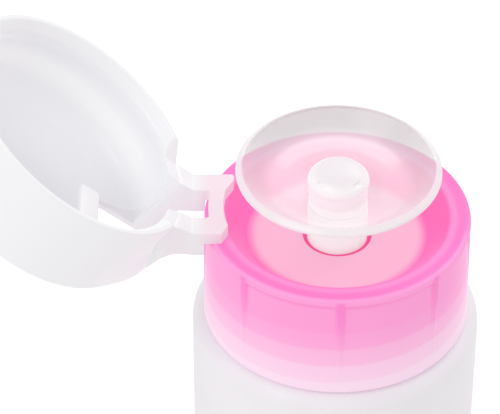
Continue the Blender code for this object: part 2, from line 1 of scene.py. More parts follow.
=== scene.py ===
# %% [markdown]
# # A push-down dispenser bottle
#
# The object is a small bottle for nail or cleansing liquid. A pad is pressed on a clear dish, a pump
# brings the liquid up through a white post, and a milky flip lid closes over the dish. Nearly every
# piece is translucent plastic, so this lesson is about two things: clean turned and moulded forms,
# and plastics that let light through without looking like glass.

# %% The imported model before anything is dressed
import math

import bmesh
import bpy
import numpy as np
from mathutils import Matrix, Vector


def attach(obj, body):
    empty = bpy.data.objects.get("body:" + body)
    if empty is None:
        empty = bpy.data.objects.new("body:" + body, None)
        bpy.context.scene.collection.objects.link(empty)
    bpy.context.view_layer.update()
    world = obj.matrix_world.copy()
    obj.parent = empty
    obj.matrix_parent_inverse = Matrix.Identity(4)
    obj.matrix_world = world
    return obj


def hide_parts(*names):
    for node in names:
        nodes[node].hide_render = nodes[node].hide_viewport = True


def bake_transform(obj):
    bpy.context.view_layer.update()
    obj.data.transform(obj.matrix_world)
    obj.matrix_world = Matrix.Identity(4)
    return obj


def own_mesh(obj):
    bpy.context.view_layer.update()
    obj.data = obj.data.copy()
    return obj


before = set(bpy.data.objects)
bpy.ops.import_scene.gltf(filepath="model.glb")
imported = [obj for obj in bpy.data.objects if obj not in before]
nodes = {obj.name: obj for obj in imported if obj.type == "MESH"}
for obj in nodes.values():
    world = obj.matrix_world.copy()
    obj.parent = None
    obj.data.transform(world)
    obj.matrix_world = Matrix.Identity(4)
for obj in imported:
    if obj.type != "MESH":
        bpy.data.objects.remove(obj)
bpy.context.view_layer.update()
# sizes below are in millimetres, and MM takes them to the frame's metres
MM = 0.001
print("Nodes to dress:", ", ".join(sorted(nodes)))

# %% [markdown]
# Every new surface here is a grid of points: one direction follows a profile or an outline, the other
# goes round or across. A grid could be typed as faces by hand, but one helper that turns an array into
# quads keeps every later cell short, and it gives each piece a UV map for free.

# %% A grid of points becomes a mesh

WELD = 0.004 * MM
SLIVER = WELD / 4.0
CREASE, LID_CREASE = 40.0, 33.0


def grid_faces(rows, columns, wrap):
    """Corner numbers of every quad: the point, the one below it, and the same pair one column on."""
    row = np.arange(rows - 1)[:, None]
    column = np.arange(columns if wrap else columns - 1)[None, :]
    after = (column + 1) % columns
    corners = [row * columns + column, (row + 1) * columns + column,
               (row + 1) * columns + after, row * columns + after]
    return np.stack(corners, axis=-1).reshape(-1, 4)


def build(name, patches, bars=(), crease=CREASE):
    """Join grids of points into one object. Each patch is (points, wrap), points being rows x columns x 3.

    A bar is a stack of closed rings, and each of its ends gets one flat face. Points closer than the
    weld distance become one, which closes seams and poles. Edges over the crease angle stay sharp.
    """
    vertices, faces, uvs, ends, start = [], [], [], [], 0
    for points, wrap in [*patches, *((rings, True) for rings in bars)]:
        rows, columns, _ = points.shape
        quads = grid_faces(rows, columns, wrap)
        vertices.append(points.reshape(-1, 3))
        faces.append(quads + start)
        u = np.broadcast_to(np.arange(columns)[None, :] / columns, (rows, columns)).reshape(-1)
        v = np.broadcast_to(np.arange(rows)[:, None] / (rows - 1), (rows, columns)).reshape(-1)
        corner_u = u[quads]
        if wrap:
            corner_u[(quads % columns == 0) & (np.arange(4) > 1)] = 1.0
        uvs.append(np.stack([corner_u, v[quads]], axis=-1).reshape(-1, 2))
        if len(vertices) > len(patches):
            last = start + (rows - 1) * columns
            ends += [list(range(start, start + columns)), list(range(last, last + columns))]
        start += rows * columns
    uvs = np.concatenate(uvs + [np.full((len(end), 2), 0.5) for end in ends])
    mesh = bpy.data.meshes.new(name)
    mesh.from_pydata(np.concatenate(vertices), [], np.concatenate(faces).tolist() + ends)
    mesh.uv_layers.new(name="Surface").data.foreach_set("uv", uvs.reshape(-1).astype(np.float32))
    form = bmesh.new()
    form.from_mesh(mesh)
    bmesh.ops.remove_doubles(form, verts=form.verts, dist=WELD)
    bmesh.ops.dissolve_degenerate(form, edges=form.edges, dist=SLIVER)
    bmesh.ops.delete(form, geom=[edge for edge in form.edges if not edge.link_faces], context="EDGES")
    bmesh.ops.recalc_face_normals(form, faces=form.faces)
    open_edges = sum(not edge.is_manifold for edge in form.edges)
    form.to_mesh(mesh)
    form.free()
    mesh.shade_smooth()
    mesh.set_sharp_from_angle(angle=math.radians(crease))
    piece = bpy.data.objects.new(name, mesh)
    bpy.context.scene.collection.objects.link(piece)
    print(f"{name}: {len(mesh.vertices)} points, {len(mesh.polygons)} faces, {open_edges} open edges")
    return piece


# %% [markdown]
# Moulded plastic has no knife edges: every corner in the real pieces has a small radius that catches
# light. A Bevel modifier could round them afterwards, but on a turned piece it is neater to round the
# profile first, corner by corner, and then turn it.

# %% Round a profile's corners and space its points

SIDE_SHARE = 0.48
NEARLY_STRAIGHT = 1.55


def rounded(corners, steps=5):
    """Replace each inner corner (r, z, radius) of a profile by an arc that touches both of its sides.

    The arc of radius q starts q / tan(half the corner's angle) along each side, and takes up no more
    than SIDE_SHARE of it. A corner with no radius, or one that is nearly straight, stays as it is.
    """
    corners = np.asarray(corners, float)
    points = corners[:, :2]
    result = [points[0]]
    for before, corner, after, radius in zip(points[:-2], points[1:-1], points[2:], corners[1:-1, 2]):
        to_before, to_after = before - corner, after - corner
        room = SIDE_SHARE * min(np.linalg.norm(to_before), np.linalg.norm(to_after))
        to_before, to_after = to_before / np.linalg.norm(to_before), to_after / np.linalg.norm(to_after)
        half = math.acos(np.clip(to_before @ to_after, -1.0, 1.0)) / 2.0
        if radius <= 0.0 or half > NEARLY_STRAIGHT:
            result.append(corner)
            continue
        radius = min(radius, room * math.tan(half))
        middle = (to_before + to_after) / np.linalg.norm(to_before + to_after)
        centre = corner + middle * radius / math.sin(half)
        start = corner + to_before * radius / math.tan(half) - centre
        end = corner + to_after * radius / math.tan(half) - centre
        share = np.linspace(0.0, 1.0, steps + 1)[:, None]
        sweep = math.pi - 2.0 * half
        arc = (np.sin((1.0 - share) * sweep) * start + np.sin(share * sweep) * end) / math.sin(sweep)
        result.extend(centre + arc)
    result.append(points[-1])
    return np.array(result)


def spaced(profile, longest, fine=None, zone=None):
    """Add points to a profile so that no step is longer than the given length, or than fine in a zone.

    The zone is a test of a step's middle point (r, z).
    """
    result = [profile[:1]]
    for start, end in zip(profile[:-1], profile[1:]):
        step = fine if zone and zone(*(start + end) / 2.0) else longest
        count = max(1, math.ceil(np.linalg.norm(end - start) / step))
        share = np.linspace(0.0, 1.0, count + 1)[1:, None]
        result.append(start + (end - start) * share)
    return np.concatenate(result)


def ramp(x, start, end):
    """0 at start, 1 at end, and 3s^2 - 2s^3 between them, s being the share of the way."""
    share = np.clip((x - start) / (end - start), 0.0, 1.0)
    return share * share * (3.0 - 2.0 * share)


def turn(profile, columns, change=None):
    """Turn a profile about Z: x = r cos t, y = r sin t. Change may alter r from (r, z, t)."""
    angles = np.linspace(0.0, math.tau, columns, endpoint=False)
    r, z, t = np.broadcast_arrays(profile[:, :1], profile[:, 1:], angles)
    if change:
        r = change(r, z, t)
    return np.stack([r * np.cos(t), r * np.sin(t), z], axis=-1) * MM


# %% [markdown]
# Screw threads are left out of the solids, so they belong here. A thread is a ridge whose height above
# the neck depends only on how far a point is from a helix. That makes it a function of height and
# angle, which can be added to the radius of any turned wall.

# %% A thread as a change of radius

PITCH, THREAD_START = 3.1, 65.4
THREAD_HALF, CREST_HALF, THREAD_FADE = 0.75, 0.28125, 0.8


def thread(z, t, start_z, low, high, depth):
    """Ridge along a helix: depth times a bump that falls with the distance in z to the nearest turn.

    The helix is z = start + pitch x angle / full turn. The bump is level up to CREST_HALF from the
    helix and ends at THREAD_HALF, and the ridge fades out over THREAD_FADE at low and at high.
    """
    phase = (z - start_z) / PITCH - t / math.tau
    centre = start_z + PITCH * (np.round(phase) + t / math.tau)
    bump = ramp(np.abs(z - centre), THREAD_HALF, CREST_HALF)
    return depth * bump * ramp(centre, low, low + THREAD_FADE) * ramp(centre, high, high - THREAD_FADE)


# %% [markdown]
# The bottle is blown from frosted plastic: a plain cylinder with a short round shoulder, a round foot
# and a screw neck. It is turned from one closed profile that runs down the outside and back up the
# inside, because a real wall thickness is what makes a frosted body look hollow. Its base stands on a
# ring round a raised middle, as blown bottles do.

# %% Bottle: outer wall, foot, inner wall and threaded neck

BOTTLE_R, WALL, FLOOR_T, SHOULDER = 21.44, 1.0, 1.2, 63.5
NECK_R, NECK_BORE, NECK_TOP, NECK_SEAM = 15.7, 14.3, 72.7, 70.0
ROOT_R, ROOT_FOOT = NECK_R - 0.35, 64.6
STAND_R, MIDDLE_R, MIDDLE_RISE = 17.5, 15.0, 0.7
NECK_THREAD_TOP, NECK_RIDGE = 71.8, 1.0
bottle_corners = [
    (NECK_BORE, NECK_SEAM, 0), (NECK_BORE, NECK_TOP, 0.3), (ROOT_R, NECK_TOP, 0.3), (ROOT_R, ROOT_FOOT, 0.4),
    (NECK_R, SHOULDER, 0.3), (BOTTLE_R, SHOULDER, 2.0), (BOTTLE_R, 0.0, 2.5), (STAND_R, 0.0, 0.6),
    (MIDDLE_R, MIDDLE_RISE, 1.5), (0.0, MIDDLE_RISE, 0), (0.0, MIDDLE_RISE + FLOOR_T, 0),
    (MIDDLE_R, MIDDLE_RISE + FLOOR_T, 1.5), (STAND_R, FLOOR_T, 0.6), (BOTTLE_R - WALL, FLOOR_T, 1.3),
    (BOTTLE_R - WALL, SHOULDER - WALL, 1.2), (NECK_BORE, SHOULDER - WALL, 1.0), (NECK_BORE, NECK_SEAM, 0)]


def on_neck(r, z):
    """Whether a point lies on the outside of the neck, above the shoulder."""
    return (r > NECK_BORE + WALL / 2.0) & (z > SHOULDER + WALL / 2.0)


def neck_thread(r, z, t):
    """Radius plus the thread's ridge on the outside of the neck."""
    ridge = thread(z, t, THREAD_START, THREAD_START, NECK_THREAD_TOP, NECK_RIDGE)
    return r + np.where(on_neck(r, z), ridge, 0.0)


bottle_line = spaced(rounded(bottle_corners, 6), 2.0, 0.2, on_neck)
bottle = build("bottle_body", [(turn(bottle_line, 192, neck_thread), True)])
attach(bottle, "bottle")
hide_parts("bottle")

# %% [markdown]
# The screw collar is the piece with the most going on: a grip of eight narrow ribs between shallow
# panels, a flat rim, a sunk floor with a hole for the hub, and a thread inside. On the real moulding
# the panels run out to nothing at the foot. Cutting them would need a Boolean for every panel, while
# a grid only needs its radius lowered wherever a point is away from a rib.

# %% Collar: panels between ribs, thread inside

COLLAR_R, FOOT_R, FOOT_Z, RIM_Z, RIM_ROUND = 19.5, 19.75, 64.0, 81.4, 0.6
FLOOR_Z, FLOOR_R, FLOOR_SEAM, MOUTH_R = 77.5, 13.2, 12.0, 16.3
UNDER_Z, UNDER_R, SKIRT_BORE, SKIRT_TOP = 76.2, 14.3, 17.0, RIM_Z - 2.4
GUIDE_R, GUIDE_BORE, GUIDE_FOOT = 5.9, 5.1, UNDER_Z - 2.0
WIPER_R, WIPER_LOW, WIPER_TOP, HOLE_R = 4.48, 76.35, 77.35, 5.15
collar_corners = [
    (FLOOR_SEAM, FLOOR_Z, 0), (FLOOR_R, FLOOR_Z, 0.7), (MOUTH_R, RIM_Z, 0.35), (COLLAR_R, RIM_Z, RIM_ROUND),
    (FOOT_R, FOOT_Z, 0.3), (SKIRT_BORE, FOOT_Z, 0.25), (SKIRT_BORE, SKIRT_TOP, 0.8), (UNDER_R, UNDER_Z, 0.5),
    (GUIDE_R, UNDER_Z, 0.3), (GUIDE_R, GUIDE_FOOT, 0.2), (GUIDE_BORE, GUIDE_FOOT, 0.2),
    (GUIDE_BORE, UNDER_Z, 0.1), (WIPER_R, WIPER_LOW, 0.1), (WIPER_R, WIPER_TOP, 0.1),
    (HOLE_R, FLOOR_Z, 0.3), (FLOOR_SEAM, FLOOR_Z, 0)]
NEAR = 0.1
collar_line = spaced(rounded(collar_corners, 6), 1.0, 0.3, lambda r, z: r > SKIRT_BORE - NEAR)

EIGHTH = math.tau / 8.0
PANEL_TOP, PANEL_FOOT, PANEL_DEPTH, PANEL_EDGE = RIM_Z - 1.0, FOOT_Z + 1.2, 0.35, 0.35
RIB_HALF, RIB_GROWTH, RIB_EDGE = 0.22, 0.38, 0.22
BORE_LOW, BORE_TOP = FOOT_Z + 0.5, RIM_Z - 3.2
COLLAR_THREAD_LOW, COLLAR_THREAD_TOP, COLLAR_RIDGE = 66.0, 74.6, 0.9


def collar_wall(r, z, t):
    """Radius less the panels outside and the thread's ridge inside.

    A panel's depth grows with the share of the way up, and so does half a rib's width. The thread
    starts half a pitch above the neck's, so that the two ridges lie between each other.
    """
    across = np.abs((t + EIGHTH / 2.0) % EIGHTH - EIGHTH / 2.0) * COLLAR_R
    rise = np.clip((z - PANEL_FOOT) / (PANEL_TOP - PANEL_FOOT), 0.0, 1.0)
    half = RIB_HALF + RIB_GROWTH * rise
    panel = ramp(across, half - RIB_EDGE / 2.0, half + RIB_EDGE / 2.0) * rise
    panel = panel * ramp(z, PANEL_TOP, PANEL_TOP - PANEL_EDGE)
    inside = (np.abs(r - SKIRT_BORE) < NEAR) & (z > BORE_LOW) & (z < BORE_TOP)
    ridge = thread(z, t, THREAD_START + PITCH / 2.0, COLLAR_THREAD_LOW, COLLAR_THREAD_TOP, COLLAR_RIDGE)
    return r - np.where(r > COLLAR_R - RIM_ROUND, PANEL_DEPTH * panel, 0.0) - np.where(inside, ridge, 0.0)


collar = build("screw_collar", [(turn(collar_line, 560, collar_wall), True)])
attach(collar, "collar")
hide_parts("collar")

# %% [markdown]
# The press dish is one clear shell of revolution: a shallow bowl with a sloping lip. Both faces follow
# power curves, and the lip slopes down to an edge so low that the far side shows no band. So the
# profile is computed and not typed, and the bore leaves room for the post that carries the dish.

# %% Press dish

DISH_R, DISH_RIM, DISH_FLOOR, DISH_UNDER, DISH_BORE = 14.93, 90.5, 85.2, 83.9, 4.2
LIP_IN, LIP_DROP, LIP_FOOT = 14.08, 0.66, 89.45
BOWL_R, BOWL_TOP, BOWL_POWER = 13.95, DISH_RIM - 0.2, 1.7
BACK_IN, BACK_OUT, BACK_TOP, BACK_POWER = 4.6, DISH_R - 0.75, LIP_FOOT - 0.35, 1.6


def bowl_line(low, high, power, share):
    """Points (r, z) from a bowl's floor to its edge: r rises with the share, and z with a power of it."""
    (low_r, low_z), (high_r, high_z) = low, high
    return np.stack([low_r + (high_r - low_r) * share, low_z + (high_z - low_z) * share ** power], axis=-1)


share = np.linspace(0.0, 1.0, 24)
outer_face = bowl_line((BACK_IN, DISH_UNDER), (BACK_OUT, BACK_TOP), BACK_POWER, 1.0 - share)
inner_face = bowl_line((DISH_BORE, DISH_FLOOR), (BOWL_R, BOWL_TOP), BOWL_POWER, share)
lip = rounded([(*inner_face[-1], 0), (LIP_IN, DISH_RIM, 0.15), (DISH_R, DISH_RIM - LIP_DROP, 0.25),
               (DISH_R, LIP_FOOT, 0.15), (*outer_face[0], 0)], 4)
dish_line = np.concatenate([lip, outer_face[1:], [(DISH_BORE, DISH_UNDER)], inner_face])
dish = build("clear_dish", [(turn(dish_line, 144), True)])
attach(dish, "plunger")
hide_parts("press_dish")

# %% [markdown]
# The white post is one moulding from the tip's seat down through the dish to the hub and the hollow
# stem. Everything on it is round, so it is turned too. Its profile starts at the small cone where the
# outlet ball sits, goes down the outside and comes back up the bore.

# %% Post with its plug, hub and hollow stem

CONE_R, PLUG_R, PLUG_TOP, PLUG_FOOT, POST_R, POST_FOOT = 2.1, 2.9, 87.2, 86.2, 4.2, 85.21
SEAT_R, HUB_R, HUB_TOP, HUB_FOOT, HUB_BORE, HUB_CEILING = 4.28, 4.4, 83.2, 76.15, 3.6, 81.2
STEM_R, STEM_FOOT, STEM_BORE, STEM_END, VALVE_BORE, VALVE_TOP = 2.4, 59.75, 1.6, 85.3, 1.0, 86.1
post_corners = [
    (CONE_R, PLUG_TOP, 0), (PLUG_R, PLUG_TOP, 0.1), (PLUG_R, PLUG_FOOT, 0.1), (POST_R, PLUG_FOOT, 0.05),
    (POST_R, POST_FOOT, 0), (SEAT_R, POST_FOOT, 0), (SEAT_R, DISH_UNDER, 0.8), (HUB_R, HUB_TOP, 0.8),
    (HUB_R, HUB_FOOT, 0.3), (HUB_BORE, HUB_FOOT, 0.2), (HUB_BORE, HUB_CEILING, 0.3),
    (STEM_R, HUB_CEILING, 0.3), (STEM_R, STEM_FOOT, 0.1), (STEM_BORE, STEM_FOOT, 0.1),
    (STEM_BORE, STEM_END, 0.1), (VALVE_BORE, STEM_END, 0.1), (VALVE_BORE, VALVE_TOP, 0.1),
    (CONE_R, PLUG_TOP, 0)]
post = build("white_post", [(turn(rounded(post_corners, 4), 96), True)])
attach(post, "plunger")
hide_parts("plunger_stem")

# %% [markdown]
# The tip is a separate domed cap that is pushed over the post, with four fine slits where the liquid
# comes out. Slits this small could be cut with a Boolean, but they are pressed into the grid instead:
# the radius drops where a point is inside a slit's width and height.

# %% Outlet cap with its slits

CAP_R, CAP_TOP, CAP_FOOT, CAP_SHOULDER, TIP_FLAT = 4.5, 90.0, 85.22, 87.7, 0.6
WAIST_R, WAIST_Z, CAP_FOOT_R, CAP_BORE, CAP_STEP = 4.3, 87.0, 4.28, 4.23, 86.3
CHAMBER_R, CHAMBER_TOP, CEILING_R, CEILING = 3.2, 88.6, 2.2, 89.32
SLIT_Z, SLIT_TALL, SLIT_WIDE, SLIT_DEPTH, SLIT_INSIDE = 88.95, (0.28, 0.18), (0.8, 0.68), 0.55, 3.4
dome = np.linspace(0.0, math.pi / 2.0, 26)
dome_line = np.stack([TIP_FLAT + (CAP_R - TIP_FLAT) * np.sin(dome),
                      CAP_SHOULDER + (CAP_TOP - CAP_SHOULDER) * np.cos(dome)], axis=-1)
cap_inside = rounded([
    (*dome_line[-1], 0), (WAIST_R, WAIST_Z, 1.2), (CAP_FOOT_R, CAP_FOOT, 0), (CAP_BORE, CAP_FOOT, 0),
    (CAP_BORE, CAP_STEP, 0), (CHAMBER_R, CAP_STEP, 0), (CHAMBER_R, CHAMBER_TOP, 0.2),
    (CEILING_R, CEILING, 0.3), (0.0, CEILING, 0)])
cap_line = np.concatenate([[(0.0, CAP_TOP)], dome_line, spaced(cap_inside, 0.4)[1:]])


def slits(r, z, t):
    """Radius less a slit's depth where a point is within its width round the cap and its height."""
    quarter_turn = math.tau / 4.0
    across = np.abs((t % quarter_turn) - quarter_turn / 2.0) * CAP_R
    pressed = ramp(across, *SLIT_WIDE) * ramp(np.abs(z - SLIT_Z), *SLIT_TALL)
    return r - np.where(r > SLIT_INSIDE, SLIT_DEPTH * pressed, 0.0)


cap = build("outlet_tip", [(turn(spaced(cap_line, 0.12), 288, slits), True)])
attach(cap, "plunger")
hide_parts("outlet_cap")

# %% [markdown]
# The return spring is one wound wire, swept as rings along a helix.

# %% Return spring

SPRING_FOOT, SPRING_LENGTH, SPRING_R, WIRE, CURLS = 45.95, 12.0, 4.6, 0.8, 6
RINGS_A_CURL, RING_POINTS = 40, 12


def wound(share, around):
    """Points of a wire round a helix of radius R: the centre is (R cos a, R sin a, foot + rise s).

    At share s of the wire, a = tau * curls * s. Each ring of angles b lies in the plane of the
    outward direction N and of B = T x N, where T is the wire's direction.
    """
    angle = math.tau * CURLS * share
    rise = SPRING_LENGTH - WIRE
    outward = np.stack([np.cos(angle), np.sin(angle), np.zeros_like(angle)], axis=-1)
    centre = SPRING_R * outward + np.outer(SPRING_FOOT + WIRE / 2.0 + rise * share, (0.0, 0.0, 1.0))
    direction = np.stack([-np.sin(angle) * SPRING_R, np.cos(angle) * SPRING_R,
                          np.full_like(angle, rise / (math.tau * CURLS))], axis=-1)
    direction /= np.linalg.norm(direction, axis=1, keepdims=True)
    across = np.cross(direction, outward)
    spread = (np.cos(around)[None, :, None] * outward[:, None]
              + np.sin(around)[None, :, None] * across[:, None])
    return centre[:, None] + WIRE / 2.0 * spread


spring_rings = wound(np.linspace(0.0, 1.0, CURLS * RINGS_A_CURL + 1),
                     np.linspace(0.0, math.tau, RING_POINTS, endpoint=False))
spring = build("wound_spring", [], [spring_rings * MM])
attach(spring, "pump")
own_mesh(spring)
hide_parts("pump_spring")

# %% [markdown]
# The flip lid is a flat-topped cup with a slot for two arms and a notch in its rim. A Boolean would
# leave ragged quads where the slot meets the round wall. Here the grid is laid out around the slot
# instead: its columns start at the slot's sides, so the slot and the notch are simply places where no
# column runs. A Bevel then rounds the cut edges, as a moulding tool would.

# %% Lid: columns laid out beside the slot, on the lid drawn shut

HINGE_X, HINGE_Z, OPEN = -21.3, 83.5, math.radians(141.0)
LID_R, LID_TOP_R, LID_RIM, LID_TOP, LID_CEILING = 19.8, 19.5, 81.7, 95.1, 93.9
SLOT_HALF, SLOT_END, NOTCH_HALF, NOTCH_TOP, RIM_HALF = 3.1, 11.9, 6.95, 83.9, 9.7
SLOT_R = math.hypot(SLOT_END, SLOT_HALF)
SIDE_COLUMNS, ROUND_COLUMNS = 5, 60
# the wall's swell at the arms and its widening, with where each starts and is full
SWELL, SWELL_BESIDE, SWELL_UP, SWELL_OUT = 2.3, (15.0, 4.0), (86.5, 93.0), (18.0, 19.2)
WIDEN, WIDEN_BESIDE, WIDEN_UP = 0.6, (2.0, 16.0), (83.0, 93.0)
FLARE, FLARE_OUT = 0.8, (12.6, 15.6)


def lid_columns(r, slot_half, notch_half):
    """Angles from the hinge side at radius r: first at even steps of y from slot to notch, then round.

    The angle of a column at half width y is asin(y / r), so the slot's and notch's sides stay straight.
    """
    across = np.arcsin(np.linspace(slot_half, notch_half, SIDE_COLUMNS).T / r[:, None])
    share = np.linspace(0.0, 1.0, ROUND_COLUMNS + 1)[None, 1:]
    round_side = across[:, -1:] + (math.pi - across[:, -1:]) * share
    half = np.concatenate([across, round_side], axis=1)
    return np.concatenate([half, math.tau - half[:, -2::-1]], axis=1)


def lid_sheet(line, swell=0.0, flare=0.0):
    """Points of a wall whose (r, z) rows are given: x = -r cos a, y = r sin a. The notch widens to the rim.

    Swell pushes the wall out by up to that much where the arms grow out of it, most between them and
    near the closed end. A wall with swell also widens a little towards the closed end. Flare widens
    the slot in the wall, which slopes its sides inside.
    """
    fall = np.clip((NOTCH_TOP - line[:, 1]) / (NOTCH_TOP - LID_RIM), 0.0, 1.0)
    angles = lid_columns(line[:, 0], SLOT_HALF + flare * ramp(line[:, 0], *FLARE_OUT),
                         NOTCH_HALF + (RIM_HALF - NOTCH_HALF) * fall)
    r, z = line[:, :1], np.broadcast_to(line[:, 1:], angles.shape)
    x, y = -r * np.cos(angles), r * np.sin(angles)
    root = swell * ramp(np.abs(y), *SWELL_BESIDE) * ramp(z, *SWELL_UP) * ramp(r, *SWELL_OUT)
    wide = WIDEN * np.sign(swell) * ramp(np.abs(y), *WIDEN_BESIDE) * ramp(z, *WIDEN_UP)
    return np.stack([np.where(x < 0.0, x - root, x), y * (1.0 + wide / LID_R), z], axis=-1)


def open_lid(points):
    """Turn points of the shut lid back about the hinge line, and go from millimetres to metres."""
    x, z = points[..., 0] - HINGE_X, points[..., 2] - HINGE_Z
    turned_x = x * math.cos(OPEN) - z * math.sin(OPEN)
    turned_z = x * math.sin(OPEN) + z * math.cos(OPEN)
    return np.stack([turned_x + HINGE_X, points[..., 1], turned_z + HINGE_Z], axis=-1) * MM


# %% [markdown]
# Both faces of the lid start at the slot's end. Inside, the wall meets the closed end in a wide round,
# and the rim is thickened by a bead with a long lead-in that finds the collar. Each line is split at
# the notch's top, because fewer columns run below it.

# %% Lid: its outer and inner faces

UPPER_ROWS, RIM_ROWS, ROUND_ROWS = 72, 11, 24
LID_BORE, ROUND_R, TOP_ROUND = 18.4, 3.2, 0.9
BEAD_R, BEAD_START, BEAD_TOP, BEAD_FOOT, LEAD_R = 17.8, 85.6, 83.9, 83.2, 19.0


def along_line(line, count):
    """Points at even shares of a line's length."""
    line = np.asarray(line, float)
    length = np.concatenate([[0.0], np.cumsum(np.linalg.norm(np.diff(line, axis=0), axis=1))])
    share = np.linspace(0.0, length[-1], count)
    return np.stack([np.interp(share, length, line[:, axis]) for axis in (0, 1)], axis=-1)


def cut(line, height):
    """Split a falling line at a height, and space the part above it and the part below it evenly."""
    crossing = [(np.interp(-height, -line[:, 1], line[:, 0]), height)]
    return (along_line(np.concatenate([line[line[:, 1] > height], crossing]), UPPER_ROWS),
            along_line(np.concatenate([crossing, line[line[:, 1] < height]]), RIM_ROWS))


outer_line = rounded([(SLOT_R, LID_TOP, 0), (LID_TOP_R, LID_TOP, TOP_ROUND), (LID_R, LID_RIM, 0)])
sweep = np.linspace(0.0, math.pi / 2.0, ROUND_ROWS)
inner_round = np.stack([LID_BORE - ROUND_R + ROUND_R * np.sin(sweep),
                        LID_CEILING - ROUND_R + ROUND_R * np.cos(sweep)], axis=-1)
inner_wall = rounded([(*inner_round[-1], 0), (LID_BORE, BEAD_START, 1.5), (BEAD_R, BEAD_TOP, 1.0),
                      (BEAD_R, BEAD_FOOT, 0.5), (LEAD_R, LID_RIM, 0)], 6)
inner_line = np.concatenate([[(SLOT_R, LID_CEILING)], inner_round, inner_wall[1:]])
notched = slice(SIDE_COLUMNS - 1, 1 - SIDE_COLUMNS)
outer_sheet, rim_outer = [lid_sheet(line, SWELL) for line in cut(outer_line, NOTCH_TOP)]
inner_sheet, rim_inner = [lid_sheet(line, 0.0, FLARE) for line in cut(inner_line, NOTCH_TOP)]
rim_outer, rim_inner = rim_outer[:, notched], rim_inner[:, notched]

# %% [markdown]
# The middle of the closed end is a fan of rings that shrink to one point. Its outline is the slot's
# radius with a straight side at the slot. Narrow strips then join the outer face to the inner one
# along the slot, the notch and the rim, so that the wall is closed all round.

# %% Lid: the closed end and the strips between the faces

CHORD, FAN_RINGS = 9, 9
chord = np.linspace(-SLOT_HALF, SLOT_HALF, CHORD)[1:-1]
chord_top = np.stack([np.full_like(chord, -SLOT_END), chord, np.full_like(chord, LID_TOP)], axis=-1)
chord_low = chord_top + np.array([0.0, 0.0, LID_CEILING - LID_TOP])
outline_top = np.concatenate([outer_sheet[0], chord_top])
outline_low = np.concatenate([inner_sheet[0], chord_low])
reach = np.linspace(0.0, 1.0, FAN_RINGS)[:, None, None]
centre_top, centre_low = np.array([0.0, 0.0, LID_TOP]), np.array([0.0, 0.0, LID_CEILING])
chord_strip = np.stack([np.roll(outline, CHORD - 1, axis=0)[:CHORD]
                        for outline in (outline_top, outline_low)])
open_patches = [chord_strip, outer_sheet, inner_sheet[::-1],
                np.stack([inner_sheet[:, 0], outer_sheet[:, 0]], axis=1),
                np.stack([outer_sheet[:, -1], inner_sheet[:, -1]], axis=1),
                np.stack([outer_sheet[-1, :SIDE_COLUMNS], inner_sheet[-1, :SIDE_COLUMNS]]),
                np.stack([outer_sheet[-1, -SIDE_COLUMNS:], inner_sheet[-1, -SIDE_COLUMNS:]]),
                rim_outer, rim_inner[::-1], np.stack([rim_outer[-1], rim_inner[-1]]),
                np.stack([rim_inner[:, 0], rim_outer[:, 0]], axis=1),
                np.stack([rim_outer[:, -1], rim_inner[:, -1]], axis=1)]
lid_patches = [(open_lid(centre_top + (outline_top - centre_top) * reach), True),
               (open_lid(centre_low + (outline_low - centre_low) * reach[::-1]), True),
               *((open_lid(points), False) for points in open_patches)]

# %% [markdown]
# Arms, pads and tabs are bars: an outline that is pushed out along one axis. Their corners are rounded
# as a profile's are, and their end edges step inwards in a quarter circle.

# %% Outlines and bars


def loop(corners, steps=4):
    """Round every corner (x, y, radius) of a closed outline, opened in the middle of its last side."""
    corners = np.asarray(corners, float)
    seam = (*(corners[0, :2] + corners[-1, :2]) / 2.0, 0.0)
    return rounded([seam, *corners, seam], steps)[:-1]


def inset(outline, depth):
    """Move each point of a closed outline inwards, square to the line through its two neighbours."""
    along = np.roll(outline, -1, axis=0) - np.roll(outline, 1, axis=0)
    normal = np.stack([-along[:, 1], along[:, 0]], axis=-1) / np.linalg.norm(along, axis=1, keepdims=True)
    area = np.sum(outline[:, 0] * np.roll(outline[:, 1], -1) - np.roll(outline[:, 0], -1) * outline[:, 1])
    return outline + normal * depth * np.sign(area)


def bar(outline, low, high, axis, edge=(0.15, 0.15)):
    """An outline pushed out from low to high along Y or Z, as a stack of closed rings.

    At each end, ring by ring, the outline is inset by radius (1 - sin b), and the level is radius
    (1 - cos b) from the end, which rounds that edge in a quarter circle.
    """
    rings = []
    quarter = np.linspace(0.0, math.pi / 2.0, 4)
    for level, radius, inward, angles in ((low, edge[0], 1.0, quarter), (high, edge[1], -1.0, quarter[::-1])):
        for angle in (angles if radius else angles[:1]):
            ring = inset(outline, radius * (1.0 - math.sin(angle)))
            third = np.full(len(ring), level + inward * radius * (1.0 - math.cos(angle)))
            parts = (ring[:, 0], third, ring[:, 1]) if axis == "Y" else (*ring.T, third)
            rings.append(np.stack(parts, axis=-1))
    return np.stack(rings)


def plate(low, high, radius=0.3):
    """A rectangle's outline between two corners."""
    return loop([(low[0], low[1], radius), (high[0], low[1], radius),
                 (high[0], high[1], radius), (low[0], high[1], radius)])


# %% [markdown]
# The lid's arms grow out of its wall with a smooth root: wide where they leave the wall, narrow at the
# hinge. A straight bar would look stuck on. Each arm is lofted through stations that pair a point on
# its top line with one on its underside, and every station is a rectangle with rounded corners.

# %% The lid's two arms

ARM_IN, ARM_OUT, ARM_DEPTH, ARM_BULGE, STATIONS = 3.08, 6.8, 4.15, 1.5, 40
HINGE_BACK, HINGE_DROP, HEEL, UNDER_X = 0.02, 0.14, 2.0, -21.7
ARM_WALL = -19.25
TOP_POINTS = [(-19.5, 83.8), (ARM_WALL, 84.2), (ARM_WALL, 93.3)]
UNDER_POINTS = [(-21.4, 92.8), (-19.4, 94.2)]


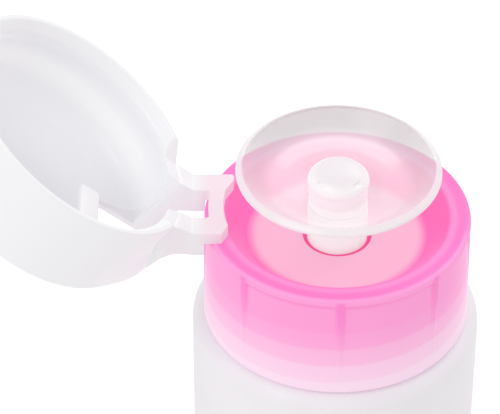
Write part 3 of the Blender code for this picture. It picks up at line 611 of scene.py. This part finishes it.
def moving_arm(side):
    """Stations of an arm on the shut lid, from its end face to the lid's closed end.

    Each ring runs round a rectangle from y inner to y outer and from the top line (share 0) to the
    underside (share 1). The outer side bulges in the first third and falls back by the end, and the
    underside leaves the heel on a sine curve.
    """
    down = np.array([-math.sin(OPEN), -math.cos(OPEN)])
    away = np.array([-math.cos(OPEN), math.sin(OPEN)])
    start = np.array([HINGE_X, HINGE_Z]) + HINGE_BACK * away + HINGE_DROP * down
    tip = start + ARM_DEPTH * down
    heel = tip + HEEL * away
    reach = UNDER_X - heel[0]
    share = np.linspace(0.0, 1.0, 9)[:, None]
    curve = heel + np.concatenate([reach * np.sin(share * math.pi / 2.0), 2.0 * reach * share], axis=1)
    under = along_line([tip, *curve, *UNDER_POINTS], STATIONS)
    top = along_line([start, *TOP_POINTS], STATIONS)
    station = np.linspace(0.0, 1.0, STATIONS)[:, None]
    depth = np.linalg.norm(under - top, axis=1)[:, None]
    y_outer = ARM_OUT + ARM_BULGE * ramp(station, 0.02, 0.32) * (1.0 - ramp(station, 0.3, 0.9))
    soft = 0.06 + 0.14 * ramp(station, 0.0, 0.1)
    y_part, v_part = [], []
    for quarter_number, (y_end, v_end) in enumerate(((0, 0), (1, 0), (1, 1), (0, 1))):
        angle = np.linspace(0.0, math.pi / 2.0, 5) + math.pi + quarter_number * math.pi / 2.0
        y_part.append(np.where(y_end, y_outer - soft, ARM_IN + soft) + soft * np.cos(angle))
        v_part.append(np.where(v_end, 1.0 - soft / depth, soft / depth) + soft / depth * np.sin(angle))
    y, v = np.concatenate(y_part, axis=1), np.concatenate(v_part, axis=1)
    place = top[:, None, :] + (under - top)[:, None, :] * v[..., None]
    follow = ramp(station, 0.0, 0.2) * (-ARM_WALL - np.sqrt(LID_TOP_R ** 2 - y ** 2))
    return np.stack([place[..., 0] + follow, side * y, place[..., 1]], axis=-1)


# %% [markdown]
# The rest of the lid is plain: a raised pad behind the slot and a thumb lip at the front. They run a
# little into the lid's wall, as one moulding does. The lid's cut edges get a live Bevel.

# %% Put the lid together

PAD_X, PAD_HALF, PAD_Z, PAD_ROUND = (-11.95, -8.3), 4.2, (93.3, 94.4), 0.8
THUMB_X, THUMB_HALF, THUMB_Z = (19.15, 21.4), 4.0, (81.72, 82.9)
EDGE_ROUND, EDGE_OVER = 0.16, 35.0
pad = plate((PAD_X[0], -PAD_HALF), (PAD_X[1], PAD_HALF), PAD_ROUND)
thumb = plate((THUMB_X[0], -THUMB_HALF), (THUMB_X[1], THUMB_HALF))
lid_bars = [moving_arm(1.0), moving_arm(-1.0),
            bar(pad, *PAD_Z, "Z", edge=(0.55, 0.0)), bar(thumb, *THUMB_Z, "Z")]
lid = build("flip_lid", lid_patches, crease=LID_CREASE)
bevel = lid.modifiers.new("soft_edges", "BEVEL")
bevel.width = EDGE_ROUND * MM
bevel.segments = 3
bevel.limit_method = "ANGLE"
bevel.angle_limit = math.radians(EDGE_OVER)
bevel.use_clamp_overlap = False
lid_arms = build("lid_arms", [], [open_lid(rings) for rings in lid_bars], LID_CREASE)
for piece in (lid, lid_arms):
    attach(piece, "lid")
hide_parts("lid")

# %% [markdown]
# The bracket is a white tab that is pegged to the collar's rim. Its front and back follow the rim's
# curve, and two short arms reach over the wall to meet the lid's arms. Seen from above it is one
# outline, so it is drawn as one, and two legs carry the arms down beside the wall.

# %% Hinge bracket

TAB_IN, TAB_OUT, TAB_FOOT, TAB_TOP, TAB_END = 16.7, 18.9, 81.36, 83.2, -16.9
LUG_X, LUG_END, WAIST_HALF, WAIST_MIDDLE, WAIST_END = -15.2, 5.5, 3.2, 1.0, -4.9
ARM_TIP, ARM_FOOT, TIP_ROUND = -21.34, 79.2, 0.06
LEG_X, LEG_END, SLIP, TUCK = -19.45, -17.3, 0.01, 0.07


def rim_point(radius, y, corner):
    """A corner (x, y, its radius) on a circle round the Z axis, on the hinge side."""
    return (-math.sqrt(radius * radius - y * y), y, corner)


def tab_outline():
    """Top view: the two arms' ends with the rim's arc between them, then the inner arc with its lug."""
    outer = [(ARM_TIP, -ARM_OUT, TIP_ROUND), (ARM_TIP, -ARM_IN, TIP_ROUND), rim_point(TAB_OUT, -ARM_IN, 0.5),
             rim_point(TAB_OUT, 0.0, 0.3), rim_point(TAB_OUT, ARM_IN, 0.5),
             (ARM_TIP, ARM_IN, TIP_ROUND), (ARM_TIP, ARM_OUT, TIP_ROUND)]
    inner = [(LUG_X, ARM_OUT, 0.35), (LUG_X, LUG_END, 0.4), rim_point(TAB_IN, WAIST_HALF, 0.6),
             rim_point(TAB_IN, WAIST_MIDDLE, 0.5), rim_point(TAB_IN, -WAIST_MIDDLE, 0.5),
             rim_point(TAB_IN, -WAIST_HALF, 0.6), rim_point(TAB_IN, WAIST_END, 0.8),
             (TAB_END, -ARM_OUT, 0.35)]
    return loop(outer + inner)


# the legs are a hair shorter, lower and wider than the tab's arms, so that no two faces coincide
arm_side = loop([(ARM_TIP + SLIP, ARM_FOOT, 0.2), (LEG_X, ARM_FOOT, 0.1), (LEG_X, TAB_FOOT, 0),
                 (LEG_END, TAB_FOOT, 0), (LEG_END, TAB_TOP - TUCK, 0), (ARM_TIP + SLIP, TAB_TOP - TUCK, 0)])
tab_bars = [bar(tab_outline(), TAB_FOOT, TAB_TOP, "Z", edge=(0.0, 0.05)),
            bar(arm_side, ARM_IN - SLIP, ARM_OUT + SLIP, "Y", edge=(0.03, 0.03)),
            bar(arm_side, -ARM_OUT - SLIP, -ARM_IN + SLIP, "Y", edge=(0.03, 0.03))]
tab = build("hinge_tab", [], [rings * MM for rings in tab_bars], LID_CREASE)
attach(tab, "collar")
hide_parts("hinge_bracket")

# %% [markdown]
# Each pair of arms is joined by a film of the same plastic, thin enough to fold. The films are built
# in place and belong to no body.

# %% Living hinge films

FILM_X, FILM_GAP, FILM_T = (-21.75, -20.9), 0.12, 0.34
FILM_TOP, FILM_DROP, FILM_SLOPE = 83.42, 0.2, (-21.6, -21.0)
films = []
for side, name in ((1.0, "back"), (-1.0, "front")):
    cross = side * np.linspace(ARM_IN + FILM_GAP, ARM_OUT - FILM_GAP, 5)
    film_x, film_y = np.meshgrid(np.linspace(*FILM_X, 25), cross, indexing="ij")
    top = np.stack([film_x, film_y, FILM_TOP - FILM_DROP * ramp(film_x, *FILM_SLOPE)], axis=-1)
    low = top - np.array([0.0, 0.0, FILM_T])
    around = np.stack([np.concatenate([sheet[0], sheet[1:, -1], sheet[-1, -2::-1], sheet[-2:0:-1, 0]])
                       for sheet in (top, low)])
    film = build(f"hinge_film_{name}", [(top * MM, False), (low * MM, False), (around * MM, True)])
    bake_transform(film)
    films.append(film)

# %% [markdown]
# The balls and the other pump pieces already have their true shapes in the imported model, so they
# stay and only get finishes. Every finish, the floor and the surround are node trees, and wiring nodes
# by hand takes many lines. A small class with short names for the usual nodes keeps each tree readable.

# %% Small tools for wiring nodes


class Wires:
    """A node tree with short names for the few nodes that are used again and again."""

    def __init__(self, tree):
        self.tree = tree
        self.nodes = tree.nodes

    def put(self, kind, **settings):
        """A new node with its settings."""
        node = self.nodes.new(kind)
        for key, value in settings.items():
            setattr(node, key, value)
        return node

    def join(self, socket, value):
        """Link an output to a socket, or give the socket a plain value. A colour is (r, g, b)."""
        if isinstance(value, bpy.types.NodeSocket):
            self.tree.links.new(value, socket)
        else:
            socket.default_value = (*value, 1.0) if socket.type == "RGBA" else value

    def math(self, operation, first, second=0.0):
        """One step of arithmetic on two values."""
        node = self.put("ShaderNodeMath", operation=operation)
        self.join(node.inputs[0], first)
        self.join(node.inputs[1], second)
        return node.outputs[0]

    def times(self, first, *others):
        """The product of all values."""
        for other in others:
            first = self.math("MULTIPLY", first, other)
        return first

    def fade(self, value, low, high, start=0.0, end=1.0):
        """Smooth change from start to end as the value goes from low to high."""
        node = self.put("ShaderNodeMapRange", interpolation_type="SMOOTHSTEP")
        for socket, item in zip(node.inputs, (value, low, high, start, end)):
            self.join(socket, item)
        return node.outputs[0]

    def blend(self, share, first, second):
        """The first colour where the share is 0, and the second where it is 1."""
        node = self.put("ShaderNodeMix", data_type="RGBA")
        for key, value in (("Factor_Float", share), ("A_Color", first), ("B_Color", second)):
            self.join(next(item for item in node.inputs if item.identifier == key), value)
        return next(item for item in node.outputs if item.identifier == "Result_Color")

    def split(self, vector):
        """The three parts of a vector."""
        node = self.put("ShaderNodeSeparateXYZ")
        self.join(node.inputs[0], vector)
        return tuple(node.outputs)

    def place(self):
        """Object coordinates in millimetres, as one vector."""
        node = self.put("ShaderNodeVectorMath", operation="SCALE")
        self.join(node.inputs[0], self.put("ShaderNodeTexCoord").outputs["Object"])
        self.join(node.inputs["Scale"], 1.0 / MM)
        return node.outputs[0]

    def radius(self, x, y):
        """Distance from the Z axis: the square root of x squared plus y squared."""
        return self.math("SQRT", self.math("ADD", self.times(x, x), self.times(y, y)))

    def noise(self, vector, scale, detail=2.0):
        """Soft noise from 0 to 1. A scale of 1 makes lumps about 1 mm across."""
        node = self.put("ShaderNodeTexNoise")
        for key, value in (("Vector", vector), ("Scale", scale), ("Detail", detail)):
            self.join(node.inputs[key], value)
        return node.outputs[0]

    def give(self, **results):
        """Send each result to the group's output of that name, and return the group."""
        node = self.put("NodeGroupOutput")
        for key, value in results.items():
            self.join(node.inputs[key], value)
        return self.tree


# %% [markdown]
# Light does most of the work in a picture of pale plastic on white. A bright, even surround fills every
# side, and two large soft lamps add the broad highlights. The floor is plain and nearly white: it looks
# white in the picture, but sends only its own diffuse light up at the bottle.

# %% Floor and surround

WHITE, FLOOR_GREY = (1.0, 1.0, 1.0), (0.92, 0.92, 0.92)
SURROUND_LIGHT, SURROUND_SEEN, FLOOR_GLOW = 0.78, 1.05, 0.2
FLOOR_HALF, FLOOR_DROP = 3.0, 0.0002
scene = bpy.context.scene
scene.view_settings.view_transform = "Standard"
scene.view_settings.look = "None"

world = bpy.data.worlds.new("white_surround")
scene.world = world
world.use_nodes = True
surround = Wires(world.node_tree)
lighting, seen = surround.nodes["Background"], surround.put("ShaderNodeBackground")
for background, strength in ((lighting, SURROUND_LIGHT), (seen, SURROUND_SEEN)):
    surround.join(background.inputs["Color"], WHITE)
    surround.join(background.inputs["Strength"], strength)
choose = surround.put("ShaderNodeMixShader")
camera_ray = surround.put("ShaderNodeLightPath").outputs["Is Camera Ray"]
for socket, value in zip(choose.inputs, (camera_ray, lighting.outputs[0], seen.outputs[0])):
    surround.join(socket, value)
surround.join(surround.nodes["World Output"].inputs["Surface"], choose.outputs[0])

floor_mesh = bpy.data.meshes.new("floor")
floor_corners = [(x * FLOOR_HALF, y * FLOOR_HALF, 0.0) for x, y in ((-1, -1), (1, -1), (1, 1), (-1, 1))]
floor_mesh.from_pydata(floor_corners, [], [(0, 1, 2, 3)])
floor = bpy.data.objects.new("floor", floor_mesh)
scene.collection.objects.link(floor)
floor.location.z = -FLOOR_DROP
pale = bpy.data.materials.new("pale_floor")
pale.use_nodes = True
pale_wires = Wires(pale.node_tree)
camera_ray = pale_wires.put("ShaderNodeLightPath").outputs["Is Camera Ray"]
for key, value in (("Base Color", FLOOR_GREY), ("Roughness", 0.9), ("Specular IOR Level", 0.0),
                   ("Emission Color", WHITE),
                   ("Emission Strength", pale_wires.times(camera_ray, FLOOR_GLOW))):
    pale_wires.join(pale_wires.nodes["Principled BSDF"].inputs[key], value)
floor_mesh.materials.append(pale)

# %% [markdown]
# Two soft lamps stand to the left in front and to the right behind. The camera looks down from where
# the ellipses of the rim and the dish put it in the photograph, through a long lens.

# %% Lamps and camera

LAMP_SIZE, LENS, LOOK_DOWN = 0.5, 201.44, 40.02
CAMERA_PLACE = (-0.012815, -0.3126, 0.3451)


def lamp(name, place, aim, power):
    """A square soft lamp that faces its aim. Places are in metres, and the power is in watts."""
    light = bpy.data.lights.new(name, "AREA")
    light.size = LAMP_SIZE
    light.energy = power
    lit = bpy.data.objects.new(name, light)
    scene.collection.objects.link(lit)
    lit.location = place
    lit.rotation_euler = (Vector(place) - Vector(aim)).to_track_quat("Z", "Y").to_euler()


lamp("key_lamp", (-0.45, -0.35, 0.75), (0, 0, 0.07), 1.6)
lamp("back_lamp", (0.35, 0.55, 0.6), (0, 0, 0.08), 1.4)

camera_data = bpy.data.cameras.new("camera")
camera_data.sensor_fit = "HORIZONTAL"
camera_data.sensor_width = 36.0
camera_data.lens = LENS
camera_data.clip_start = 0.01
camera_data.clip_end = 20.0
camera = bpy.data.objects.new("camera", camera_data)
scene.collection.objects.link(camera)
camera.location = CAMERA_PLACE
camera.rotation_euler = (math.radians(90.0 - LOOK_DOWN), 0.0, 0.0)
scene.camera = camera
print(f"Camera: {LENS} mm lens, looking {LOOK_DOWN} degrees down")

# %% [markdown]
# A translucent moulding is not one colour. It is deepest where the wall is thick or doubled and pale
# where light comes through from below, so each finish works out its colour from where a point lies on
# the piece. These effects are node groups: they give colour, roughness and bump height, and any shader
# can take them. A little emission stands for the light that comes through the thin walls.

# %% Effects and finishes


def effect(name, inputs=(), extra=()):
    """The wires of a new node group that gives colour, roughness, height and any extra values."""
    tree = bpy.data.node_groups.new(name, "ShaderNodeTree")
    for way, labels in (("INPUT", inputs), ("OUTPUT", ("Color", "Roughness", "Height", *extra))):
        for label in labels:
            kind = "NodeSocketColor" if "Color" in label else "NodeSocketFloat"
            tree.interface.new_socket(name=label, in_out=way, socket_type=kind)
    return Wires(tree)


def finish(name, group, height=0.0, glow=0.0, inputs=None, **values):
    """A material whose shader takes colour, roughness and bump from an effect; other values are plain.

    Inputs are the effect's own values here. Glow stands for the light that comes through a thin wall.
    """
    material = bpy.data.materials.new(name)
    material.use_nodes = True
    wires = Wires(material.node_tree)
    shader = wires.nodes["Principled BSDF"]
    node = wires.put("ShaderNodeGroup", node_tree=group)
    for key, value in (inputs or {}).items():
        wires.join(node.inputs[key], value)
    wires.join(shader.inputs["Base Color"], node.outputs["Color"])
    wires.join(shader.inputs["Roughness"], node.outputs["Roughness"])
    if height:
        bump = wires.put("ShaderNodeBump")
        wires.join(bump.inputs["Distance"], height * MM)
        wires.join(bump.inputs["Height"], node.outputs["Height"])
        wires.join(shader.inputs["Normal"], bump.outputs[0])
    if glow:
        wires.join(shader.inputs["Emission Color"], node.outputs["Color"])
        wires.join(shader.inputs["Emission Strength"], glow)
    for key, value in values.items():
        wires.join(shader.inputs[key.replace("_", " ")], value)
    print(f"{name}: from the effect {group.name}, glow {glow}")
    return material


def dress(material, *pieces):
    """Give pieces a material in place of the ones they have."""
    for piece in pieces:
        piece.data.materials.clear()
        piece.data.materials.append(material)


# %% [markdown]
# The collar's pink comes from dye in a clear plastic: hot pink at the rim, where the wall is joined by
# the floor, and paler towards the foot, where the white neck shines through. Each turn of the thread
# behind the wall steps the tone, and the thick ribs stay dark for longer than the panels. Painted shade
# runs under the panels' tops, round the edge of the sunk floor and in the hole, and a painted highlight
# lies on the near side of the rim's edge.

# %% Pink collar

PINK = {"top": (0.80, 0.278, 0.545), "foot": (0.78, 0.61, 0.72), "rib": (0.79, 0.17, 0.495),
        "panel top shade": (0.80, 0.195, 0.50), "rim": (0.81, 0.235, 0.53), "outer rim": (0.81, 0.165, 0.48),
        "near edge highlight": (0.83, 0.285, 0.57), "recess": (0.88, 0.15, 0.44), "floor": (0.765, 0.42, 0.56),
        "hole": (0.72, 0.05, 0.24), "cloud": (1.0, 0.75, 0.9)}
TONE_TOP, TONE_TURNS, STEP_PART, STEP_LAG, STEP_SHARE = 76.4, 4.6, 0.6, 0.2, 0.2
RIB_TONE_ACROSS, RIB_TONE_UP, PANEL_SHADE_LOW, PANEL_SHADE_TOP = (0.25, 0.95), (71.0, 80.0), (79.5, 80.1), (80.35, 80.6)
OUTER_RIM, NEAR_HIGHLIGHT_OUT, NEAR_HIGHLIGHT_SIDE, RIM_UP = (17.1, 18.0), (18.5, 19.2), (-8.0, 2.0), (RIM_Z - 0.5, RIM_Z - 0.1)
RECESS, FLOOR_SHADE_EDGE, HOLE_SHADE_EDGE = (16.2, 16.9), (11.6, 13.5), (5.0, 5.15)


def pink_effect():
    """The tone by height on the wall, by radius on the rim and in the recess, with ribs, a cloud, painted
    shade and a painted highlight.
    """
    wires = effect("pink_dye_and_painted_light")
    vector = wires.place()
    x, y, z = wires.split(vector)
    turn_angle = wires.math("ARCTAN2", y, x)
    radius = wires.radius(x, y)
    # the tone rises from the rim to the foot, with a step at each turn of the thread; the step is the
    # part of a turn's staircase above its slope, so it runs round the collar without a seam
    depth = wires.math("DIVIDE", wires.math("SUBTRACT", TONE_TOP, z), PITCH)
    turns = wires.math("ADD", depth, wires.math("DIVIDE", turn_angle, math.tau))
    stepped = wires.math("ADD", wires.math("FLOOR", turns),
                         wires.fade(wires.math("FRACT", turns), 0.0, STEP_SHARE))
    step = wires.times(wires.math("SUBTRACT", stepped, turns), STEP_PART)
    level = wires.math("ADD", wires.math("SUBTRACT", depth, STEP_LAG), step)
    wall = wires.blend(wires.fade(level, 0.0, TONE_TURNS), PINK["top"], PINK["foot"])
    # ribs: a dark wedge that runs out half way down
    beside = wires.math("PINGPONG", wires.math("ADD", turn_angle, math.tau), EIGHTH / 2.0)
    rib = wires.fade(wires.times(beside, COLLAR_R), *RIB_TONE_ACROSS, 1.0, 0.0)
    rib = wires.times(rib, wires.fade(z, *RIB_TONE_UP), 0.85)
    wall = wires.blend(rib, wall, PINK["rib"])
    # a deeper line of painted shade under the panels' tops, and a deep rim with a painted highlight on the
    # near side of its edge
    panel_top_shade = wires.times(wires.fade(z, *PANEL_SHADE_LOW), wires.fade(z, *PANEL_SHADE_TOP, 1.0, 0.0), 0.8)
    wall = wires.blend(panel_top_shade, wall, PINK["panel top shade"])
    rim = wires.blend(wires.fade(radius, *OUTER_RIM), PINK["rim"], PINK["outer rim"])
    near_edge_highlight = wires.times(wires.fade(radius, *NEAR_HIGHLIGHT_OUT), wires.fade(y, *NEAR_HIGHLIGHT_SIDE, 1.0, 0.0))
    rim = wires.blend(near_edge_highlight, rim, PINK["near edge highlight"])
    wall = wires.blend(wires.fade(z, *RIM_UP), wall, rim)
    # the recess: glowing deep pink sides with painted shade where the floor runs into them, and a pale floor
    # with a deeper ring of painted shade in the hole
    sunk = wires.blend(wires.fade(radius, *FLOOR_SHADE_EDGE, 1.0, 0.0), PINK["recess"], PINK["floor"])
    sunk = wires.blend(wires.fade(radius, *HOLE_SHADE_EDGE, 1.0, 0.0), sunk, PINK["hole"])
    base = wires.blend(wires.fade(radius, *RECESS, 1.0, 0.0), wall, sunk)
    cloud = wires.noise(vector, 0.1, 1.0)
    return wires.give(Color=wires.blend(wires.times(cloud, 0.04), base, PINK["cloud"]),
                      Roughness=wires.fade(cloud, 0.2, 0.8, 0.29, 0.35),
                      Height=wires.noise(vector, 0.25, 1.0))


pink = finish("dyed_pink_plastic", pink_effect(), 0.03, glow=0.3, Specular_IOR_Level=0.2)
dress(pink, collar)

# %% [markdown]
# The plainer plastics, the rubber and the steel share one effect with two tones: a soft cloud, as uneven
# cooling leaves in milky mouldings, moves the colour between them and changes the gloss a little. It is
# built once, and each material gives it its own tones, scale and gloss.

# %% Milky arms, frosted bottle, natural pump pieces, seals and steel


def cloudy_effect():
    """Two tones and two roughness values, mixed by soft noise. The height is noise eight times as fine."""
    wires = effect("cloudy", ("Light Color", "Dark Color", "Scale", "Low Roughness", "High Roughness"))
    given = wires.put("NodeGroupInput").outputs
    vector = wires.place()
    cloud = wires.fade(wires.noise(vector, given["Scale"]), 0.3, 0.7)
    return wires.give(Color=wires.blend(cloud, given["Light Color"], given["Dark Color"]),
                      Roughness=wires.fade(cloud, 0.0, 1.0, given["Low Roughness"], given["High Roughness"]),
                      Height=wires.noise(vector, wires.times(given["Scale"], 8.0), 3.0))


cloudy_group = cloudy_effect()


def cloudy(name, light, dark, scale, gloss, height=0.01, **values):
    """A material of the cloudy effect with its own light and dark tone, scale and (low, high) roughness."""
    inputs = {"Light Color": light, "Dark Color": dark, "Scale": scale,
              "Low Roughness": gloss[0], "High Roughness": gloss[1]}
    return finish(name, cloudy_group, height, inputs=inputs, **values)


milky = cloudy("milky_plastic", (0.74, 0.735, 0.75), (0.72, 0.715, 0.73), 0.06, (0.28, 0.36), glow=0.25)
frosted = cloudy("frosted_plastic", (0.745, 0.72, 0.75), (0.725, 0.70, 0.73), 0.08, (0.5, 0.6), glow=0.2)
natural = cloudy("natural_plastic", (0.80, 0.80, 0.78), (0.74, 0.74, 0.71), 0.25, (0.4, 0.5), 0.02,
                 Subsurface_Weight=0.3, Subsurface_Scale=0.002)
seal = cloudy("soft_seal", (0.72, 0.72, 0.70), (0.64, 0.64, 0.62), 0.5, (0.6, 0.75), 0.03)
steel = cloudy("bright_steel", (0.72, 0.73, 0.75), (0.60, 0.61, 0.63), 1.2, (0.16, 0.28), Metallic=1.0)
dress(milky, lid_arms)
dress(frosted, bottle)
dress(seal, nodes["neck_gasket"], nodes["piston"])
dress(steel, spring, nodes["inlet_ball"], nodes["outlet_ball"])
for name in ("pump_housing", "dip_tube", "ball_cage", "stem_guide", "piston_seat"):
    dress(natural, nodes[name])

# %% [markdown]
# The lid is milky too, but its tone follows its form. A painted highlight makes it whitest in the thick
# round between wall and closed end, and painted shade darkens the inside of the closed end towards the
# near side. The tones could be painted in an image, but heights and radii of the shut lid describe them
# in a few fades.

# %% Milky lid

LID_HIGHLIGHT, LID_OUT, LID_WALL_IN = (0.805, 0.805, 0.81), (0.735, 0.73, 0.745), (0.735, 0.74, 0.755)
LID_END_SHADE, LID_END_FAR = (0.58, 0.58, 0.61), (0.77, 0.77, 0.79)
END_SHADE_ACROSS, END_UP, INSIDE_OUT, INSIDE_UP = (-4.0, 18.0), (90.0, 93.7), (18.8, 19.3), (94.2, 94.8)
BAND_LOW, BAND_TOP, BAND_OUT, BAND_ACROSS = (85.6, 88.6), (89.3, 93.2), (15.8, 17.4), (3.0, 13.0)


def lid_effect():
    """Milky tones by height and radius, with a painted highlight in the inner round and painted shade in the
    closed end.

    The lid is drawn open, so its points are turned back about the hinge line before heights are read.
    """
    wires = effect("milky_lid")
    vector = wires.place()
    turned = wires.put("ShaderNodeVectorRotate", rotation_type="Y_AXIS")
    for key, value in (("Vector", vector), ("Center", (HINGE_X, 0.0, HINGE_Z)), ("Angle", OPEN)):
        wires.join(turned.inputs[key], value)
    x, y, z = wires.split(turned.outputs[0])
    radius = wires.radius(x, y)
    inside = wires.times(wires.fade(radius, *INSIDE_OUT, 1.0, 0.0), wires.fade(z, *INSIDE_UP, 1.0, 0.0))
    # painted highlight in the round between wall and closed end
    highlight_band = wires.times(wires.fade(z, *BAND_LOW), wires.fade(z, *BAND_TOP, 1.0, 0.0), inside,
                        wires.fade(radius, *BAND_OUT),
                        wires.fade(wires.math("ABSOLUTE", y), *BAND_ACROSS, 0.15, 1.0))
    # painted shade: the closed end darkens towards the near side
    closed_end_shade = wires.blend(wires.fade(y, *END_SHADE_ACROSS), LID_END_SHADE, LID_END_FAR)
    hollow = wires.blend(wires.fade(z, *END_UP), LID_WALL_IN, closed_end_shade)
    cloud = wires.noise(vector, 0.06)
    return wires.give(Color=wires.blend(highlight_band, wires.blend(inside, LID_OUT, hollow), LID_HIGHLIGHT),
                      Roughness=wires.fade(cloud, 0.3, 0.7, 0.3, 0.38), Height=wires.noise(vector, 0.5))


lid_plastic = finish("milky_lid_plastic", lid_effect(), glow=0.25)
dress(lid_plastic, lid)

# %% [markdown]
# The post and its tip are white, and the post lets more light through down its sides. The top of the
# tip is painted darker, as shade. Low down the tone is painted towards green, to offset the collar's
# pink light that falls on it. The bracket lies on the collar's rim, and there its milky tone turns pink.

# %% White post and tip, and the bracket

WHITE_LOW, WHITE_BODY, WHITE_TIP_SHADE = (0.685, 0.85, 0.77), (0.76, 0.735, 0.745), (0.68, 0.63, 0.655)
WHITE_UP, TIP_SHADE_UP = (83.0, 86.0), (88.6, 89.7)
BRACKET_MILKY, BRACKET_PINK = (0.72, 0.715, 0.73), (0.745, 0.625, 0.68)
ON_RIM, OVER_RIM = (-21.2, -18.6), (80.5, 81.6)


def white_effect():
    """White plastic, painted darker at the tip as shade and greener low down to offset the collar's pink
    light.
    """
    wires = effect("white_tip")
    vector = wires.place()
    z = wires.split(vector)[2]
    # painted tint: green low down offsets the collar's pink light that falls on the post
    body = wires.blend(wires.fade(z, *WHITE_UP), WHITE_LOW, WHITE_BODY)
    cloud = wires.noise(vector, 0.15)
    # painted shade: the top of the tip is darker
    return wires.give(Color=wires.blend(wires.fade(z, *TIP_SHADE_UP), body, WHITE_TIP_SHADE),
                      Roughness=wires.fade(cloud, 0.3, 0.7, 0.3, 0.4), Height=wires.noise(vector, 1.2))


def bracket_effect():
    """Milky plastic that picks up the collar's pink where it lies on the rim."""
    wires = effect("milky_bracket")
    vector = wires.place()
    x, _, z = wires.split(vector)
    over = wires.times(wires.fade(x, *ON_RIM), wires.fade(z, *OVER_RIM))
    cloud = wires.noise(vector, 0.2)
    return wires.give(Color=wires.blend(over, BRACKET_MILKY, BRACKET_PINK),
                      Roughness=wires.fade(cloud, 0.3, 0.7, 0.28, 0.36), Height=cloud)


white_tone = white_effect()
dress(finish("white_plastic", white_tone, 0.01, glow=0.3), cap)
dress(finish("white_hub_plastic", white_tone, 0.01, glow=0.4), post)
dress(finish("milky_bracket_plastic", bracket_effect(), 0.01, glow=0.25), tab, *films)

# %% [markdown]
# The clear dish could be glass with refraction, which would also bend what is seen through it. Here it
# is a shiny plastic that covers only part of what lies behind it, because each zone's share can then be
# set: least on the floor, more up the wall, most on the lip, and more wherever it is seen edge on.

# %% Clear dish

CLEAR_BACK, CLEAR_LIP = (0.74, 0.71, 0.725), (0.73, 0.68, 0.70)
CLEAR_FLOOR, CLEAR_WALL, CLEAR_HIGHLIGHT = (0.80, 0.76, 0.78), (0.50, 0.46, 0.48), (0.88, 0.83, 0.86)
LIP_V, INNER_V = (0.04, 0.09), (0.625, 0.641)
LIP_UP, CRESCENT_IN, CRESCENT_OUT, CRESCENT_FAR = (LIP_FOOT - 0.1, LIP_FOOT), (8.0, 8.9), (9.9, 10.8), (3.0, 6.0)
WALL_OUT, WALL_ACROSS, COVER_OUT = (9.0, 12.0), (-4.0, 4.0), (8.0, 12.5)


def dish_effect():
    """Clear plastic with a paler, denser lip. Its extra output says how much of the view it covers.

    The piece's own UV map tells the faces apart: V runs down the outside and back up the inside.
    """
    wires = effect("clear_lip", extra=("Cover",))
    vector = wires.place()
    x, y, z = wires.split(vector)
    radius = wires.radius(x, y)
    v = wires.split(wires.put("ShaderNodeUVMap", uv_map="Surface").outputs[0])[1]
    inner = wires.fade(v, *INNER_V)
    outside = wires.math("SUBTRACT", wires.fade(v, *LIP_V), inner)
    lip_share = wires.times(wires.fade(z, *LIP_UP), outside)
    # a painted highlight: a pale crescent on the far side of the floor, where it turns up into the wall
    painted_crescent = wires.times(wires.fade(radius, *CRESCENT_IN), wires.fade(radius, *CRESCENT_OUT, 1.0, 0.0),
                          wires.fade(y, *CRESCENT_FAR))
    # painted shade: the wall is darker than the floor, most of all on the far side
    wall_shade = wires.times(wires.fade(radius, *WALL_OUT), wires.fade(y, *WALL_ACROSS, 0.6, 1.0))
    inner_tone = wires.blend(painted_crescent, wires.blend(wall_shade, CLEAR_FLOOR, CLEAR_WALL), CLEAR_HIGHLIGHT)
    base = wires.blend(inner, CLEAR_BACK, inner_tone)
    floor_cover, wall_cover = wires.fade(y, -6.0, 6.0, 0.28, 0.38), wires.fade(y, 2.0, 10.0, 0.42, 0.58)
    cover = wires.math("ADD", wires.fade(radius, *COVER_OUT, floor_cover, wall_cover),
                       wires.times(painted_crescent, 0.08))
    cloud = wires.noise(vector, 0.15, 1.0)
    return wires.give(Color=wires.blend(lip_share, base, CLEAR_LIP), Height=cloud,
                      Roughness=wires.fade(cloud, 0.2, 0.8, 0.18, 0.24),
                      Cover=wires.math("ADD", cover, wires.times(lip_share, 0.5)))


clear = finish("clear_plastic", dish_effect(), glow=0.25)
clear_wires = Wires(clear.node_tree)
cover = next(node for node in clear_wires.nodes if node.type == "GROUP").outputs["Cover"]
facing = clear_wires.put("ShaderNodeLayerWeight")
facing.inputs["Blend"].default_value = 0.3
edge_on = clear_wires.fade(facing.outputs["Facing"], 0.2, 1.0, 0.0, 0.3)
clear_wires.join(clear_wires.nodes["Principled BSDF"].inputs["Alpha"],
                 clear_wires.math("MINIMUM", clear_wires.math("ADD", cover, edge_on), 1.0))
dress(clear, dish)
